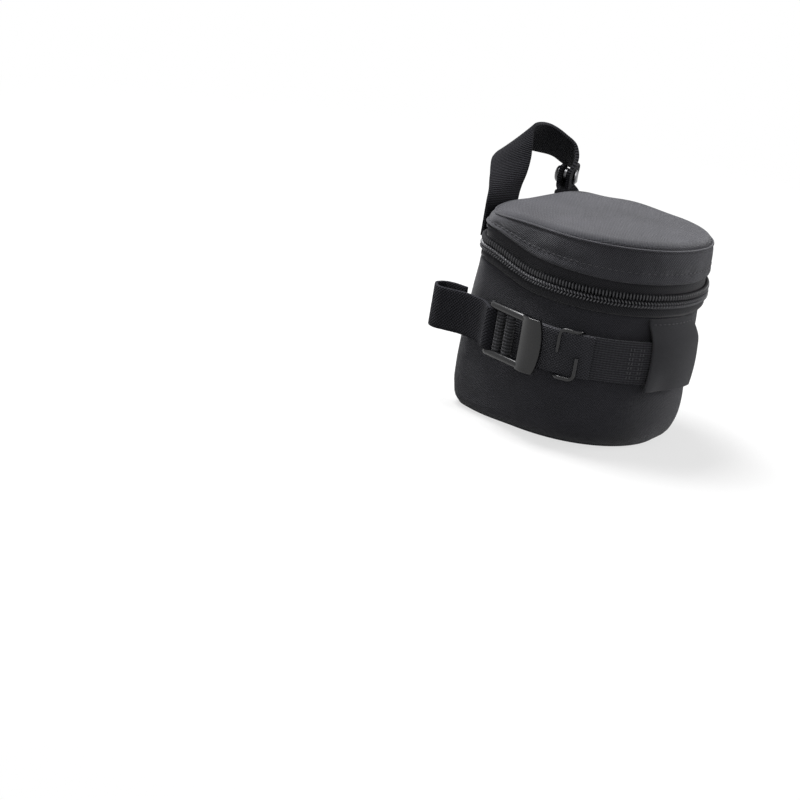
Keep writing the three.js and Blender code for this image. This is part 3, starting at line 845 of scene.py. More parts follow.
@dataclass(frozen=True)
class Cloth:
    """A woven or knitted finish, drawn in millimetres on the sheet's own UV map."""

    name: str
    slot: str
    dark: str
    light: str
    weave: Weave
    pitch: tuple[float, float]
    relief: float = 0.12
    roughness: float = 0.88
    sheen: float = 0.25
    shine: float = 0.25
    fuzz: float = 0.35
    fade: float = 0.25

    def material(self) -> bpy.types.Material:
        """Build the material: threads, loose fibres, and slow fading over the piece.

        Returns:
            The new material.
        """
        made = bpy.data.materials.new(self.name)
        made.use_nodes = True
        nodes = Nodes(made.node_tree)
        coords = nodes.add("TexCoord").outputs
        split = nodes.add("SeparateXYZ", (coords["UV"],)).outputs
        threads = self.threads(nodes, split[0], split[1])
        fibre = nodes.add("TexNoise", {"Vector": coords["UV"], "Scale": FIBRES_PER_MM, "Detail": 4.0})
        slow = nodes.add("TexNoise", {"Vector": coords["Object"], "Scale": FADED_PER_M, "Detail": 2.0})
        # Loose fibres break up the thread pattern so that it reads as cloth and not as print
        loose = nodes.add("Math", (fibre, 0.5), operation="SUBTRACT")
        rough = nodes.add("Math", (loose, 2 * self.fuzz, 0.5), operation="MULTIPLY_ADD")
        faded = nodes.add("Math", (slow, 0.5), operation="SUBTRACT")
        worn = nodes.add("Math", (faded, 2 * self.fade, 0.0), operation="MULTIPLY_ADD")
        woven = nodes.add("Math", (threads, 0.45, rough), operation="MULTIPLY_ADD")
        shown = nodes.add("Math", (woven, worn), operation="ADD", use_clamp=True)
        colours = {0: shown, 6: linear(self.dark), 7: linear(self.light)}
        height = nodes.add("Math", (fibre, self.fuzz, threads), operation="MULTIPLY_ADD")
        bump = nodes.add("Bump", {"Strength": 0.7, "Distance": self.relief * MM, "Height": height})
        shader = nodes.add(
            "BsdfPrincipled",
            {
                "Base Color": nodes.add("Mix", colours, data_type="RGBA").outputs[2],
                "Roughness": self.roughness,
                "Specular IOR Level": self.shine,
                "Sheen Weight": self.sheen,
                "Sheen Roughness": 0.45,
                "Normal": bump,
            },
        )
        nodes.add("OutputMaterial", {"Surface": shader})
        return made

    def threads(self, nodes: Nodes, u: bpy.types.NodeSocket, v: bpy.types.NodeSocket) -> bpy.types.Node:
        """Draw the threads as a height.

        Args:
            nodes: the material's nodes.
            u: millimetres along the cloth.
            v: millimetres across it.

        Returns:
            A node whose output runs from about -1 to 1.
        """
        first, second = self.pitch
        if self.weave is Weave.HERRINGBONE:
            slant = nodes.add("Math", (v, HERRINGBONE), operation="PINGPONG")
            return self.wave(nodes, nodes.add("Math", (u, slant), operation="ADD"), first)
        along, across = self.wave(nodes, u, first), self.wave(nodes, v, second)
        if self.weave is Weave.LENGTHWISE:
            return nodes.add("Math", (along, 0.25, across), operation="MULTIPLY_ADD")
        if self.weave is Weave.KNIT:
            loops = nodes.add("Math", (along,), operation="ABSOLUTE")
            return nodes.add("Math", (loops, across), operation="MULTIPLY")
        checks = nodes.add("Math", (along, across), operation="MULTIPLY")
        if self.weave is Weave.RIBBED:
            return nodes.add("Math", (checks, 0.5, along), operation="MULTIPLY_ADD")
        return checks

    @staticmethod
    def wave(nodes: Nodes, length: object, pitch: float) -> bpy.types.Node:
        """Sine of a length in millimetres, repeating at the pitch."""
        turns = nodes.add("Math", (length, 2 * math.pi / pitch), operation="MULTIPLY")
        return nodes.add("Math", (turns,), operation="SINE")


@dataclass(frozen=True)
class Hard:
    """A moulded or metal finish with fine texture and rubbed edges."""

    name: str
    slot: str
    colour: str
    rubbed: str
    roughness: float
    metallic: float = 0.0
    coat: float = 0.0
    grain: float = 0.03
    shine: float = 0.5

    def material(self) -> bpy.types.Material:
        """Build the material: base colour, grain, and paler edges where it is rubbed.

        Returns:
            The new material.
        """
        made = bpy.data.materials.new(self.name)
        made.use_nodes = True
        nodes = Nodes(made.node_tree)
        place = nodes.add("TexCoord").outputs["Object"]
        fine = nodes.add("TexNoise", {"Vector": place, "Scale": GRAIN_PER_M, "Detail": 2.0})
        slow = nodes.add("TexNoise", {"Vector": place, "Scale": GLOSS_PER_M, "Detail": 3.0})
        edge = nodes.add("NewGeometry").outputs["Pointiness"]
        # Edges that are handled shine a little paler than the faces
        sharp = nodes.add("Math", (edge, 0.52), operation="SUBTRACT")
        rub = nodes.add("Math", (sharp, 4.0), operation="MULTIPLY", use_clamp=True)
        colours = {0: rub, 6: linear(self.colour), 7: linear(self.rubbed)}
        uneven = nodes.add("Math", (slow, 0.5), operation="SUBTRACT")
        rough = nodes.add("Math", (uneven, 0.25, self.roughness), operation="MULTIPLY_ADD")
        bump = nodes.add("Bump", {"Strength": 0.5, "Distance": self.grain * MM, "Height": fine})
        shader = nodes.add(
            "BsdfPrincipled",
            {
                "Base Color": nodes.add("Mix", colours, data_type="RGBA").outputs[2],
                "Roughness": rough,
                "Metallic": self.metallic,
                "Specular IOR Level": self.shine,
                "Coat Weight": self.coat,
                "Coat Roughness": 0.18,
                "Normal": bump,
            },
        )
        nodes.add("OutputMaterial", {"Surface": shader})
        return made


class Finish(Enum):
    """Every finish on the pouch.

    The pitches of the threads are in millimetres. Real ones are 0.3 to 0.7 mm apart, too fine to show in the
    picture, so they are drawn about twice as coarse.
    """

    # Matt polyester of the body: a fine check of dark gaps and paler threads, without gloss
    SHELL = Cloth(
        "charcoal_woven_polyester", "shell_fabric", "#18181b", "#4c4c52", Weave.PLAIN, (1.0, 1.0), 0.16
    )
    # The same cloth round the lid, drawn a little paler as painted light
    BAND = Cloth(
        "charcoal_woven_polyester_band_painted_light", "shell_fabric", "#222225", "#68686e", Weave.PLAIN, (1.0, 1.0), 0.2
    )
    # The same cloth over the padded top: coarser threads, and colours drawn paler as painted light from above
    TOP = Cloth(
        "charcoal_woven_polyester_top_painted_light", "shell_fabric", "#232327", "#626268", Weave.PLAIN, (1.05, 1.05), 0.25
    )
    # Coated nylon: smooth and even, with hardly a thread to see
    LABEL = Cloth(
        "smooth_charcoal_nylon", "shell_fabric", "#2e2e31", "#424246", Weave.PLAIN, (0.7, 0.7), 0.04
    )
    # Brushed knit: soft, even and dull
    LINING = Cloth(
        "brushed_tricot_lining", "lining_fabric", "#2b2b2f", "#55555b", Weave.KNIT, (1.2, 0.8), 0.1
    )
    # Polypropylene webbing: long fine ribs with a slight gloss
    STRAP = Cloth(
        "polypropylene_webbing_run",
        "webbing",
        "#28282b",
        "#545459",
        Weave.LENGTHWISE,
        (1.5, 1.1),
        0.2,
        sheen=0.1,
    )
    # The strap's free end, whose plain weave has darker gaps
    TAIL = Cloth(
        "polypropylene_webbing_tail", "webbing", "#0e0e10", "#5c5c62", Weave.PLAIN, (1.5, 1.3), 0.3, sheen=0.1
    )
    # Thick webbing: coarse threads with deep gaps, darkened almost to black as painted shade
    LOOP = Cloth(
        "polypropylene_webbing_loop_painted_shade",
        "webbing",
        "#030304",
        "#3c3c42",
        Weave.PLAIN,
        (1.6, 1.6),
        0.45,
        sheen=0.04,
        shine=0.1,
    )
    # Grosgrain: raised ribs across the band, almost black
    HANG = Cloth(
        "grosgrain_webbing",
        "webbing",
        "#040405",
        "#2d2d32",
        Weave.RIBBED,
        (1.05, 1.6),
        0.25,
        sheen=0.04,
        shine=0.1,
    )
    # Webbing bent over a bar, with its ribs spread open
    FOLD = Cloth(
        "polypropylene_webbing_fold", "webbing", "#121214", "#626266", Weave.LENGTHWISE, (1.4, 1.5), 0.35
    )
    # Woven tape: flat, dull herringbone
    TAPE = Cloth("woven_zip_tape", "zip_coil", "#18181a", "#3c3c40", Weave.HERRINGBONE, (1.2, 1.2), 0.08)
    # Grosgrain cord cover: close fine ribs
    PIPING = Cloth("grosgrain_piping", "webbing", "#202023", "#4a4a50", Weave.RIBBED, (1.2, 1.2), 0.1)
    # Extruded nylon: smooth, with a small highlight on each turn of the coil
    COIL = Hard("nylon_zip_coil", "zip_coil", "#202023", "#4c4c50", 0.42)
    # The same nylon, drawn paler grey on the lower row as painted highlight
    COIL_LOW = Hard("nylon_zip_coil_painted_highlight", "zip_coil", "#404044", "#8a8a8e", 0.34)
    # Bonded thread: slightly glossy and paler than the cloth
    THREAD = Hard("bonded_polyester_thread", "webbing", "#36363a", "#56565a", 0.55)
    # Moulded acetal: satin black with soft clear highlights
    ACETAL = Hard("satin_black_acetal", "moulded_plastic", "#09090b", "#3a3a40", 0.24, coat=0.25, shine=0.3)
    # Blackened brass: dark metal that mirrors the white surround
    METAL = Hard("blackened_brass", "blackened_metal", "#4a4a4c", "#8c8c8e", 0.3, 1.0)


@dataclass
class Dresser:
    """Gives pieces their finish, their body and the CAD nodes that they stand for."""

    made: dict[Finish, bpy.types.Material] = field(default_factory=dict)

    def paint(self, piece: bpy.types.Object, finish: Finish) -> None:
        """Put one finish on a piece.

        Args:
            piece: the modelled piece.
            finish: its finish, whose material is made when it is first used.
        """
        if finish not in self.made:
            self.made[finish] = finish.value.material()
        piece.data.materials.clear()
        piece.data.materials.append(self.made[finish])

    def wear(
        self, piece: bpy.types.Object, finish: Finish, body: str, *nodes: str, fill: float | None = None
    ) -> None:
        """Finish a piece that rides one body.

        Args:
            piece: the modelled piece.
            finish: its finish.
            body: the CAD body that it moves with.
            nodes: the CAD nodes that it stands for.
            fill: how full a padded piece is, from 0 to 1; not used.
        """
        self.paint(piece, finish)
        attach(piece, body)
        if nodes:
            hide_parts(*nodes)
        log.info("%s rides %s, %d faces", piece.name, body, len(piece.data.polygons))

    def bend(
        self,
        piece: bpy.types.Object,
        finish: Finish,
        bodies: tuple[str, str],
        span: tuple[Sequence[float], Sequence[float]],
        *nodes: str,
    ) -> None:
        """Finish a piece that spans two bodies; it stays where it is modelled and moves with neither.

        Args:
            piece: the modelled piece.
            finish: its finish.
            bodies: the CAD bodies at its two ends.
            span: the points between which it passes from the first body to the second; not used.
            nodes: the CAD nodes that it stands for.
        """
        self.paint(piece, finish)
        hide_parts(*nodes)
        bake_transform(piece)
        log.info("%s bends between %s and %s", piece.name, *bodies)


def stitches(name: str, frames: Sequence[Matrix], long: float = 2.2, thick: float = 0.55) -> bpy.types.Object:
    """Row of thread lying on cloth."""
    return repeated(name, bead("stitch", (long, thick, 0.7 * thick)), frames)


# Sub-assemblies
@dataclass
class Body:
    """The padded body: wall, back, base and lining. Profiles are rows of out and height."""

    plan: Plan
    dresser: Dresser
    cloth: float = 1.2
    lining_cloth: float = 0.8
    uneven: float = 0.5
    lean: tuple[float, float] = (-2.0, 1.9)
    full: float = 2.0
    top: float = 66.0
    foot_out: float = 2.0
    foot_sink: float = 1.0
    floor_gap: float = 0.2
    lid_hem: float = 82.5
    lid_side: float = 11.8
    piping: tuple[float, float, float] = (-7.2, 1.9, 0.65)
    fold: tuple[Sequence[float], Sequence[float]] = ((0, 47.5, 72.4), (0, 47.5, 75.6))
    foot: Profile = ((-11.6, 0.5), (-7.4, 1.6), (-4.0, 4.6), (-2.0, 9.6), (-1.1, 18.0))
    side: Profile = ((-0.8, 30.0), (-0.9, 45.0), (-1.2, 56.0), (-1.7, 63.0))
    rim: Profile = ((-2.0, 66.2), (-2.9, 67.2), (-4.3, 66.4))
    rear: Profile = ((-1.0, 18.0), (-0.5, 35.0), (-0.1, 55.0), (0.4, 68.0), (0.6, 73.0))
    rear_lid: Profile = ((0.3, 74.0), (0.6, 75.0), (0.8, 80.0), (0.7, 88.0), (-0.8, 94.2))

    def hang(self, points: np.ndarray) -> np.ndarray:
        """Let the soft body sit down on its left foot and lean a little, as in the photograph.

        Args:
            points: rows of points, which are changed.

        Returns:
            The same rows.
        """
        x, y, z = points.T
        left = np.exp(-(((y - 22.0) / 20.0) ** 2)) * ease((-20.0 - x) / 18.0) * ease((10.0 - z) / 8.0)
        points[:, 0] -= self.foot_out * left
        points[:, 2] = np.maximum(z - self.foot_sink * left, np.minimum(z, self.floor_gap))
        low = np.clip(1 - points[:, 2] / self.top, 0, 1)
        points[:, :2] += np.outer(low, self.lean)
        return points

    def climbed(self, run: np.ndarray, height: np.ndarray) -> np.ndarray:
        """Heights on the wall that follow the climbing zip, fully at the rim and not at all half way down."""
        return height + self.plan.zip_rise(run) * ease((height - 40) / 26)

    def build(self) -> None:
        """Model and dress the body."""
        self.wall()
        self.back()
        self.base()
        self.lining()

    def wall(self) -> None:
        """Front and side fabric, in one sheet from back seam to back seam."""
        profile = [*self.foot, *self.side, *self.rim]
        seam = self.plan.seam_run

        def place(s: np.ndarray, t: np.ndarray) -> np.ndarray:
            """Points at shares round the wall and up it.

            Args:
                s: share round the wall, from 0 to 1.
                t: share up it, from 0 to 1.

            Returns:
                Rows of points in millimetres.
            """
            run = seam * (1 - 2 * s)
            out, height = smooth(profile, t).T
            loose = self.uneven * ripple(run, height) * np.sin(math.pi * t)
            tuck = turned_in(np.abs(run), seam)
            low = ease((36 - height) / 22) * ease(height / 5)
            right = np.exp(-(((run + 38) / 26) ** 2))
            left = 0.5 * np.exp(-(((run - 90) / 20) ** 2))
            bulge = self.full * (right + left) * low
            return self.hang(self.plan.place(run, out + loose + tuck + bulge, self.climbed(run, height)))

        piece = grid("wall_fabric", (240, 44), place, (2 * seam, length_of(profile)))
        thicken(piece, self.cloth)
        shade(piece, 60)
        self.dresser.wear(piece, Finish.SHELL, "pouch", "body_wall", "wall_foam", fill=0.7)

    def back(self) -> None:
        """Flat back, one sheet that folds at the hinge and goes on up the lid."""
        profile = [*self.foot[:4], *self.rear, *self.rear_lid]
        wide = 2 * (self.plan.half_run - self.plan.seam_run)

        def place(s: np.ndarray, t: np.ndarray) -> np.ndarray:
            """Points at shares across the back and up it.

            Args:
                s: share across the back, from 0 to 1.
                t: share up it, from 0 to 1.

            Returns:
                Rows of points in millimetres.
            """
            run = self.plan.half_run + wide * (0.5 - s)
            out, height = smooth(profile, t).T
            tuck = turned_in(np.abs(s - 0.5) * wide, wide / 2)
            loose = 0.5 * self.uneven * ripple(run, height, 2.0) * np.sin(math.pi * t)
            points = self.hang(self.plan.place(run, out + tuck + loose, height))
            return self.plan.settled(points, np.clip((points[:, 2] - self.lid_hem) / self.lid_side, 0, 1))

        piece = grid("back_fabric", (64, 64), place, (wide, length_of(profile)))
        thicken(piece, self.cloth)
        shade(piece, 60)
        nodes = ("back_panel", "lid_back_panel", "back_foam")
        self.dresser.bend(piece, Finish.SHELL, ("pouch", "lid"), self.fold, *nodes)

    def base(self) -> None:
        """Flat base with a piped seam round it."""
        plan = self.plan
        # Rows of out, height and the share of the plan's size
        section = ((-9.0, 0.0, 0.0), (-14.0, 0.0, 1.0), (-9.6, 1.0, 1.0), (-10.4, 2.2, 1.0), (-9.0, 2.2, 0.0))

        def place(s: np.ndarray, t: np.ndarray) -> np.ndarray:
            """Points at shares round the base and along its section.

            Args:
                s: share round the base, from 0 to 1.
                t: share along its section, from 0 to 1.

            Returns:
                Rows of points in millimetres.
            """
            out, height, size = steps_at(section, t)
            rim = plan.place(plan.half_run * (1 - 2 * s), out, height)
            rim[:, :2] *= size[:, None]
            return self.hang(rim)

        piece = grid("base_fabric", (120, 24), place, (300, 90), join=True)
        lay_flat(piece)
        edit(piece, face_out)
        shade(piece, 50)
        self.dresser.wear(piece, Finish.SHELL, "pouch", "base_panel", "base_foam", fill=0.3)
        piping = hoop("base_piping", circle_section(*self.piping), plan, (200, 10))
        move_points(piping, self.hang(points_of(piping) / MM) * MM)
        self.dresser.wear(piping, Finish.PIPING, "pouch", "base_welt")

    def lining(self) -> None:
        """Soft cup inside the body."""
        plan = self.plan
        # Rows of out, height and the share of the plan's size
        cup = [(-3.6, 66.2, 1.0), (-5.6, 67.0, 1.0), (-8.0, 65.5, 1.0), (-8.6, 60.0, 1.0), (-8.5, 36.0, 1.0)]
        cup += [(-8.7, 12.0, 1.0), (-10.5, 8.9, 1.0), (-14.0, 8.2, 0.95)]
        cup += [(-14.0, 8.0, 0.5), (-14.0, 8.0, 0.0)]

        def place(s: np.ndarray, t: np.ndarray) -> np.ndarray:
            """Points at shares round the cup and down into it.

            Args:
                s: share round the cup, from 0 to 1.
                t: share down into it, from 0 to 1.

            Returns:
                Rows of points in millimetres.
            """
            out, height, size = steps_at(cup, t)
            run = plan.half_run * (2 * s - 1)
            soft = 0.4 * ripple(run, height, 4.0) * np.sin(math.pi * t)
            rim = plan.place(run, out + soft, self.climbed(run, height))
            rim[:, :2] *= size[:, None]
            return rim

        piece = grid("lining_fabric", (180, 45), place, (300, 120), join=True)
        thicken(piece, self.lining_cloth)
        shade(piece, 50)
        self.dresser.wear(piece, Finish.LINING, "pouch", "lining_cup", fill=0.4)


@dataclass
class Zip:
    """Zip tapes and the two rows of the coil."""

    plan: Plan
    dresser: Dresser
    pitch: float = 1.55
    row_low: float = 72.0
    row_high: float = 75.5
    coil_out: float = 0.1
    tucked: float = 5.0
    tape_thick: float = 0.8
    slant: float = 38.0
    plait: float = 0.8
    rib: tuple[float, float, float] = (1.3, 3.8, 2.5)
    turn: tuple[float, float, float] = (0.95, 2.4, 2.8)
    lower: Profile = (
        (-3.6, 64.8),
        (-2.4, 65.7),
        (-0.7, 66.1),
        (0.2, 67.2),
        (0.1, 69.0),
        (-0.7, 70.6),
        (-0.9, 73.7),
    )
    upper: Profile = ((-0.9, 74.4), (-0.9, 78.0), (-1.0, 81.0), (-0.9, 84.6))

    def build(self) -> None:
        """Model and dress the tapes and the coil."""
        self.tape("zip_tape_low", self.lower, "pouch", "zip_tape_lower")
        self.tape("zip_tape_high", self.upper, "lid", "zip_tape_upper")
        self.row_of_ribs()
        self.row_of_chevrons()

    def tape(self, name: str, profile: Profile, body: str, node: str) -> None:
        """One woven tape, with its ends tucked in behind the back fabric.

        Args:
            name: name of the piece.
            profile: rows of out and height.
            body: the CAD body that it moves with.
            node: the CAD node that it stands for.
        """
        end = self.plan.seam_run + self.tucked

        def place(s: np.ndarray, t: np.ndarray) -> np.ndarray:
            """Points at shares along the tape and across it.

            Args:
                s: share along the tape, from 0 to 1.
                t: share across it, from 0 to 1.

            Returns:
                Rows of points in millimetres.
            """
            out, height = smooth(profile, t).T
            run = end * (1 - 2 * s)
            return self.plan.place(run, out + self.plan.soft_corner(run), height + self.plan.zip_rise(run))

        piece = grid(name, (200, 18), place, (2 * end, length_of(profile)))
        thicken(piece, self.tape_thick)
        shade(piece, 60)
        self.dresser.wear(piece, Finish.TAPE, body, node)

    def spots(self, height: float) -> list[Matrix]:
        """Find the places of the teeth of one row.

        Args:
            height: height of the row in front.

        Returns:
            Frames with X along the zip and Z outwards.
        """
        runs = np.arange(self.plan.seam_run - 1, 1 - self.plan.seam_run, -self.pitch)
        out = self.coil_out + self.plan.soft_corner(runs)
        points = self.plan.place(runs, out, height + self.plan.zip_rise(runs))
        ways = self.plan.outward(runs)
        return [axes_at(p, (-n[1], n[0], 0), n) for p, n in zip(points, ways)]

    def row_of_ribs(self) -> None:
        """Upper row, seen as upright ribs."""
        piece = repeated("zip_coil_high", bead("tooth", self.rib), self.spots(self.row_high))
        self.dresser.wear(piece, Finish.COIL, "lid", "zip_coil_upper")

    def row_of_chevrons(self) -> None:
        """Lower row, seen as a plait of slanting turns."""
        frames = []
        for side in (1, -1):
            lean = Matrix.Rotation(math.radians(side * self.slant), 4, "Z")
            shift = Matrix.Translation((0, side * self.plait, 0))
            frames += [spot @ shift @ lean for spot in self.spots(self.row_low)]
        piece = repeated("zip_coil_low", bead("tooth", self.turn), frames)
        self.dresser.wear(piece, Finish.COIL_LOW, "pouch", "zip_coil_lower")


@dataclass
class Lid:
    """The lid: band with its stitched hem, fine welt, plump top and lining."""

    plan: Plan
    dresser: Dresser
    cloth: float = 0.8
    crown: float = 3.0
    puff: float = 1.2
    roll: float = 4.0
    swell: float = 2.1
    swell_at: float = 16.0
    swell_wide: float = 21.0
    hem: float = 82.5
    seam: float = 94.3
    hem_stitch: float = 86.4
    stitch_pitch: float = 3.0
    welt: tuple[float, float] = (-0.3, 0.65)
    lining_at: float = 85.6
    turned_under: Profile = ((-0.9, 84.4), (-0.8, 83.0), (-0.1, 82.5), (0.5, 83.0), (0.6, 84.4), (0.25, 86.4))
    side: Profile = ((0.45, 88.2), (0.4, 91.0), (0.1, 93.0), (-0.5, 94.1), (-1.6, 94.3))

    def build(self) -> None:
        """Model and dress the lid."""
        self.band()
        self.piping()
        self.top()
        self.lining()

    def lifted(self, points: np.ndarray, run: np.ndarray) -> np.ndarray:
        """Move points of the band with the zip line at the hem and with the top at the welt.

        Args:
            points: rows of points, which are changed.
            run: their places along the zip line.

        Returns:
            The same rows.
        """
        share = np.clip((points[:, 2] - self.hem) / (self.seam - self.hem), 0, 1)
        points[:, 2] += (1 - share) * self.plan.hem_rise(run) + share * self.plan.lid_tilt(points)
        return self.plan.settled(points, share)

    def band(self) -> None:
        """Band round the lid, with its lower edge turned under and stitched."""
        profile = [*self.turned_under, *self.side]
        plan, seam = self.plan, self.plan.seam_run

        def place(s: np.ndarray, t: np.ndarray) -> np.ndarray:
            """Points at shares round the band and up it.

            Args:
                s: share round the band, from 0 to 1.
                t: share up it, from 0 to 1.

            Returns:
                Rows of points in millimetres.
            """
            run = seam * (1 - 2 * s)
            out, height = smooth(profile, t).T
            sewn = np.exp(-(((height - self.hem_stitch) / 2.2) ** 2))
            loose = 0.5 * ripple(1.4 * run, height, 1.0) * np.sin(math.pi * t) * (1 - sewn)
            pucker = 0.12 * np.sin(run / 1.7) * sewn
            tuck = plan.soft_corner(run) + turned_in(np.abs(run), seam)
            return self.lifted(plan.place(run, out + loose + pucker + tuck, height), run)

        piece = grid("lid_band_fabric", (240, 36), place, (2 * seam, length_of(profile)))
        thicken(piece, self.cloth)
        shade(piece, 60)
        self.dresser.wear(piece, Finish.BAND, "lid", "lid_band")
        runs = np.linspace(seam - 3, 3 - seam, 400)
        points = self.lifted(plan.place(runs, 0.45 + plan.soft_corner(runs), self.hem_stitch), runs)
        row = stitches("lid_hem_stitches", path_frames(points, plan.outward(runs), self.stitch_pitch))
        self.dresser.wear(row, Finish.THREAD, "lid")

    def piping(self) -> None:
        """Fine welt in the seam between band and top."""
        out, radius = self.welt
        section = circle_section(out, self.seam, radius)
        piece = hoop("lid_welt_piping", section, self.plan, (240, 10), soft=1.0)
        points = points_of(piece) / MM
        points[:, 2] += self.plan.lid_tilt(points)
        move_points(piece, self.plan.settled(points, 1.0) * MM)
        # The welt wears the top's paler cloth, a painted highlight along the seam
        self.dresser.wear(piece, Finish.TOP, "lid", "lid_welt")

    def top(self) -> None:
        """Plump padded top, rounded over at its edge."""
        plan = self.plan

        def place(s: np.ndarray, t: np.ndarray) -> np.ndarray:
            """Points at shares round the top and in towards its middle.

            Args:
                s: share round the top, from 0 to 1.
                t: share in towards its middle, from 0 to 1.

            Returns:
                Rows of points in millimetres.
            """
            run = plan.half_run * (1 - 2 * s)
            inward = 1 - t**1.5
            rim = plan.place(run, plan.soft_corner(run) - 0.9, 0)
            rim[:, :2] *= inward[:, None]
            over = 1 - np.clip(plan.back * (1 - inward) / self.roll, 0, 1)
            rise = 0.87 * np.sqrt(1 - over**2) + 0.13 * (1 - inward**2.5)
            swell = self.swell * np.exp(-(((rim[:, 0] - self.swell_at) / self.swell_wide) ** 2))
            crown = self.crown - self.puff * rim[:, 1] / plan.back + swell * ease(rim[:, 1] / 40.0)
            uneven = 0.15 * ripple(rim[:, 0], rim[:, 1], 3.0)
            rim[:, 2] = self.seam + crown * rise + uneven + plan.lid_tilt(rim)
            return plan.settled(rim, 1.0)

        piece = grid("lid_top_fabric", (200, 48), place, (100, 100), join=True)
        lay_flat(piece)
        thicken(piece, self.cloth)
        shade(piece, 60)
        self.dresser.wear(piece, Finish.TOP, "lid", "lid_top_panel", fill=0.8)

    def lining(self) -> None:
        """Soft underside of the lid."""
        plan = self.plan

        def place(s: np.ndarray, t: np.ndarray) -> np.ndarray:
            """Points at shares round the lining and in towards its middle.

            Args:
                s: share round the lining, from 0 to 1.
                t: share in towards its middle, from 0 to 1.

            Returns:
                Rows of points in millimetres.
            """
            run = plan.half_run * (2 * s - 1)
            inward = 1 - t
            rim = plan.place(run, np.full(len(run), -2.0), 0)
            rim[:, :2] *= inward[:, None]
            rim[:, 2] = self.lining_at - 1.0 * (1 - inward**4)
            return rim

        piece = grid("lid_lining_fabric", (120, 20), place, (100, 100), join=True)
        lay_flat(piece)
        thicken(piece, self.cloth)
        shade(piece, 60)
        self.dresser.wear(piece, Finish.LINING, "lid", "lid_lining", "lid_foam", fill=0.4)


@dataclass
class SideStrap:
    """Strap round the front, its tail, the label tab over its end and the wire keeper."""

    plan: Plan
    dresser: Dresser
    width: float = 20.0
    middle: float = 45.0
    strap: tuple[float, float] = (84.0, -12.0)
    tail: tuple[float, float] = (75.0, 40.0)
    tacks: tuple[float, ...] = (17.4, 18.8, 22.2, 23.6)
    label: tuple[float, float] = (31.0, 36.0)
    label_cloth: float = 0.8
    label_fall: Profile = (
        (-1.2, 64.9),
        (-0.7, 62.6),
        (1.4, 59.4),
        (3.2, 55.8),
        (3.9, 50.0),
        (4.0, 41.0),
        (3.5, 35.0),
        (3.1, 32.0),
    )
    wire: float = 0.98

    def build(self) -> None:
        """Model and dress the strap."""
        run = self.along("strap_webbing", self.strap, 1.6, 1.6)
        self.dresser.wear(run, Finish.STRAP, "pouch", "strap_run")
        tail = self.along("strap_tail_webbing", self.tail, 3.3, 1.3)
        self.dresser.wear(tail, Finish.TAIL, "pouch", "strap_tail")
        self.tack()
        self.label_tab()
        self.keeper()

    def along(self, name: str, runs: tuple[float, float], out: float, thick: float) -> bpy.types.Object:
        """Model webbing that lies round the plan.

        Args:
            name: name of the piece.
            runs: where it starts and ends.
            out: how far its middle lies outside the zip line.
            thick: its thickness.

        Returns:
            The new object.
        """

        def place(s: np.ndarray, t: np.ndarray) -> np.ndarray:
            """Points at shares along the webbing and across it.

            Args:
                s: share along the webbing, from 0 to 1.
                t: share across it, from 0 to 1.

            Returns:
                Rows of points in millimetres.
            """
            run = runs[0] + (runs[1] - runs[0]) * s
            height = self.middle + (t - 0.5) * self.width
            return self.plan.place(run, out + 0.12 * np.sin(run / 6.0), height)

        piece = grid(name, (160, 8), place, (abs(runs[1] - runs[0]), self.width))
        thicken(piece, thick, 0.0)
        round_edges(piece, WEBBING_EDGE * thick)
        shade(piece)
        return piece

    def tack(self) -> None:
        """Box of stitches that holds the strap beside the label."""
        heights = np.linspace(self.middle - 8, self.middle + 8, 40)
        frames = []
        for run in self.tacks:
            runs = np.full(len(heights), run)
            points = self.plan.place(runs, np.full(len(heights), 2.45), heights)
            frames += path_frames(points, self.plan.outward(runs), 2.2)
        row = stitches("strap_tack_stitches", frames, 1.8, 0.6)
        self.dresser.wear(row, Finish.THREAD, "pouch")

    def label_tab(self) -> None:
        """Bare tab sewn at its top, with its lower left corner standing away."""

        def place(s: np.ndarray, t: np.ndarray) -> np.ndarray:
            """Points at shares across the tab and up it.

            Args:
                s: share across the tab, from 0 to 1.
                t: share up it, from 0 to 1.

            Returns:
                Rows of points in millimetres.
            """
            out, height = smooth(self.label_fall, 1 - t).T
            run = self.label[0] * (0.5 - s)
            left = ease(run / (0.5 * self.label[0]))
            low = ease((50 - height) / 18)
            waist = 1.3 * left * np.sin(math.pi * np.clip((height - 31) / 32, 0, 1))
            away = 3.4 * left**2 * low**2
            return self.plan.place(run - waist + 1.2 * left * low**2, out + away, height + 0.6 * left * low)

        piece = grid("label_tab_fabric", (30, 36), place, self.label)
        thicken(piece, self.label_cloth, 0.0)
        round_edges(piece, 0.2)
        shade(piece)
        self.dresser.wear(piece, Finish.LABEL, "pouch", "label_tab")
        runs = np.linspace(14, -14, 60)
        points = self.plan.place(runs, np.full(len(runs), -0.15), 62.7)
        row = stitches("label_stitches", path_frames(points, self.plan.outward(runs), 2.6), 2.0)
        self.dresser.wear(row, Finish.THREAD, "pouch")

    def keeper(self) -> None:
        """Bent wire round the strap, open in front between its two arms."""
        front, behind, low, high = 5.2, 0.0, 33.8, 56.2
        # Rows of run, out and height
        corners = [(54.6, front, 45.5), (54.6, front, high), (46.5, front, high), (45.4, behind, high)]
        corners += [(45.4, behind, 45.0), (55.2, behind, 45.0), (55.2, behind, low), (54.0, front, low)]
        corners += [(46.0, front, low), (46.0, front, 44.5)]
        centres = self.plan.place(*rounded_path(corners, 3.0).T)
        piece = tube("keeper_wire", centres, self.wire)
        self.dresser.wear(piece, Finish.ACETAL, "keeper", "strap_keeper")


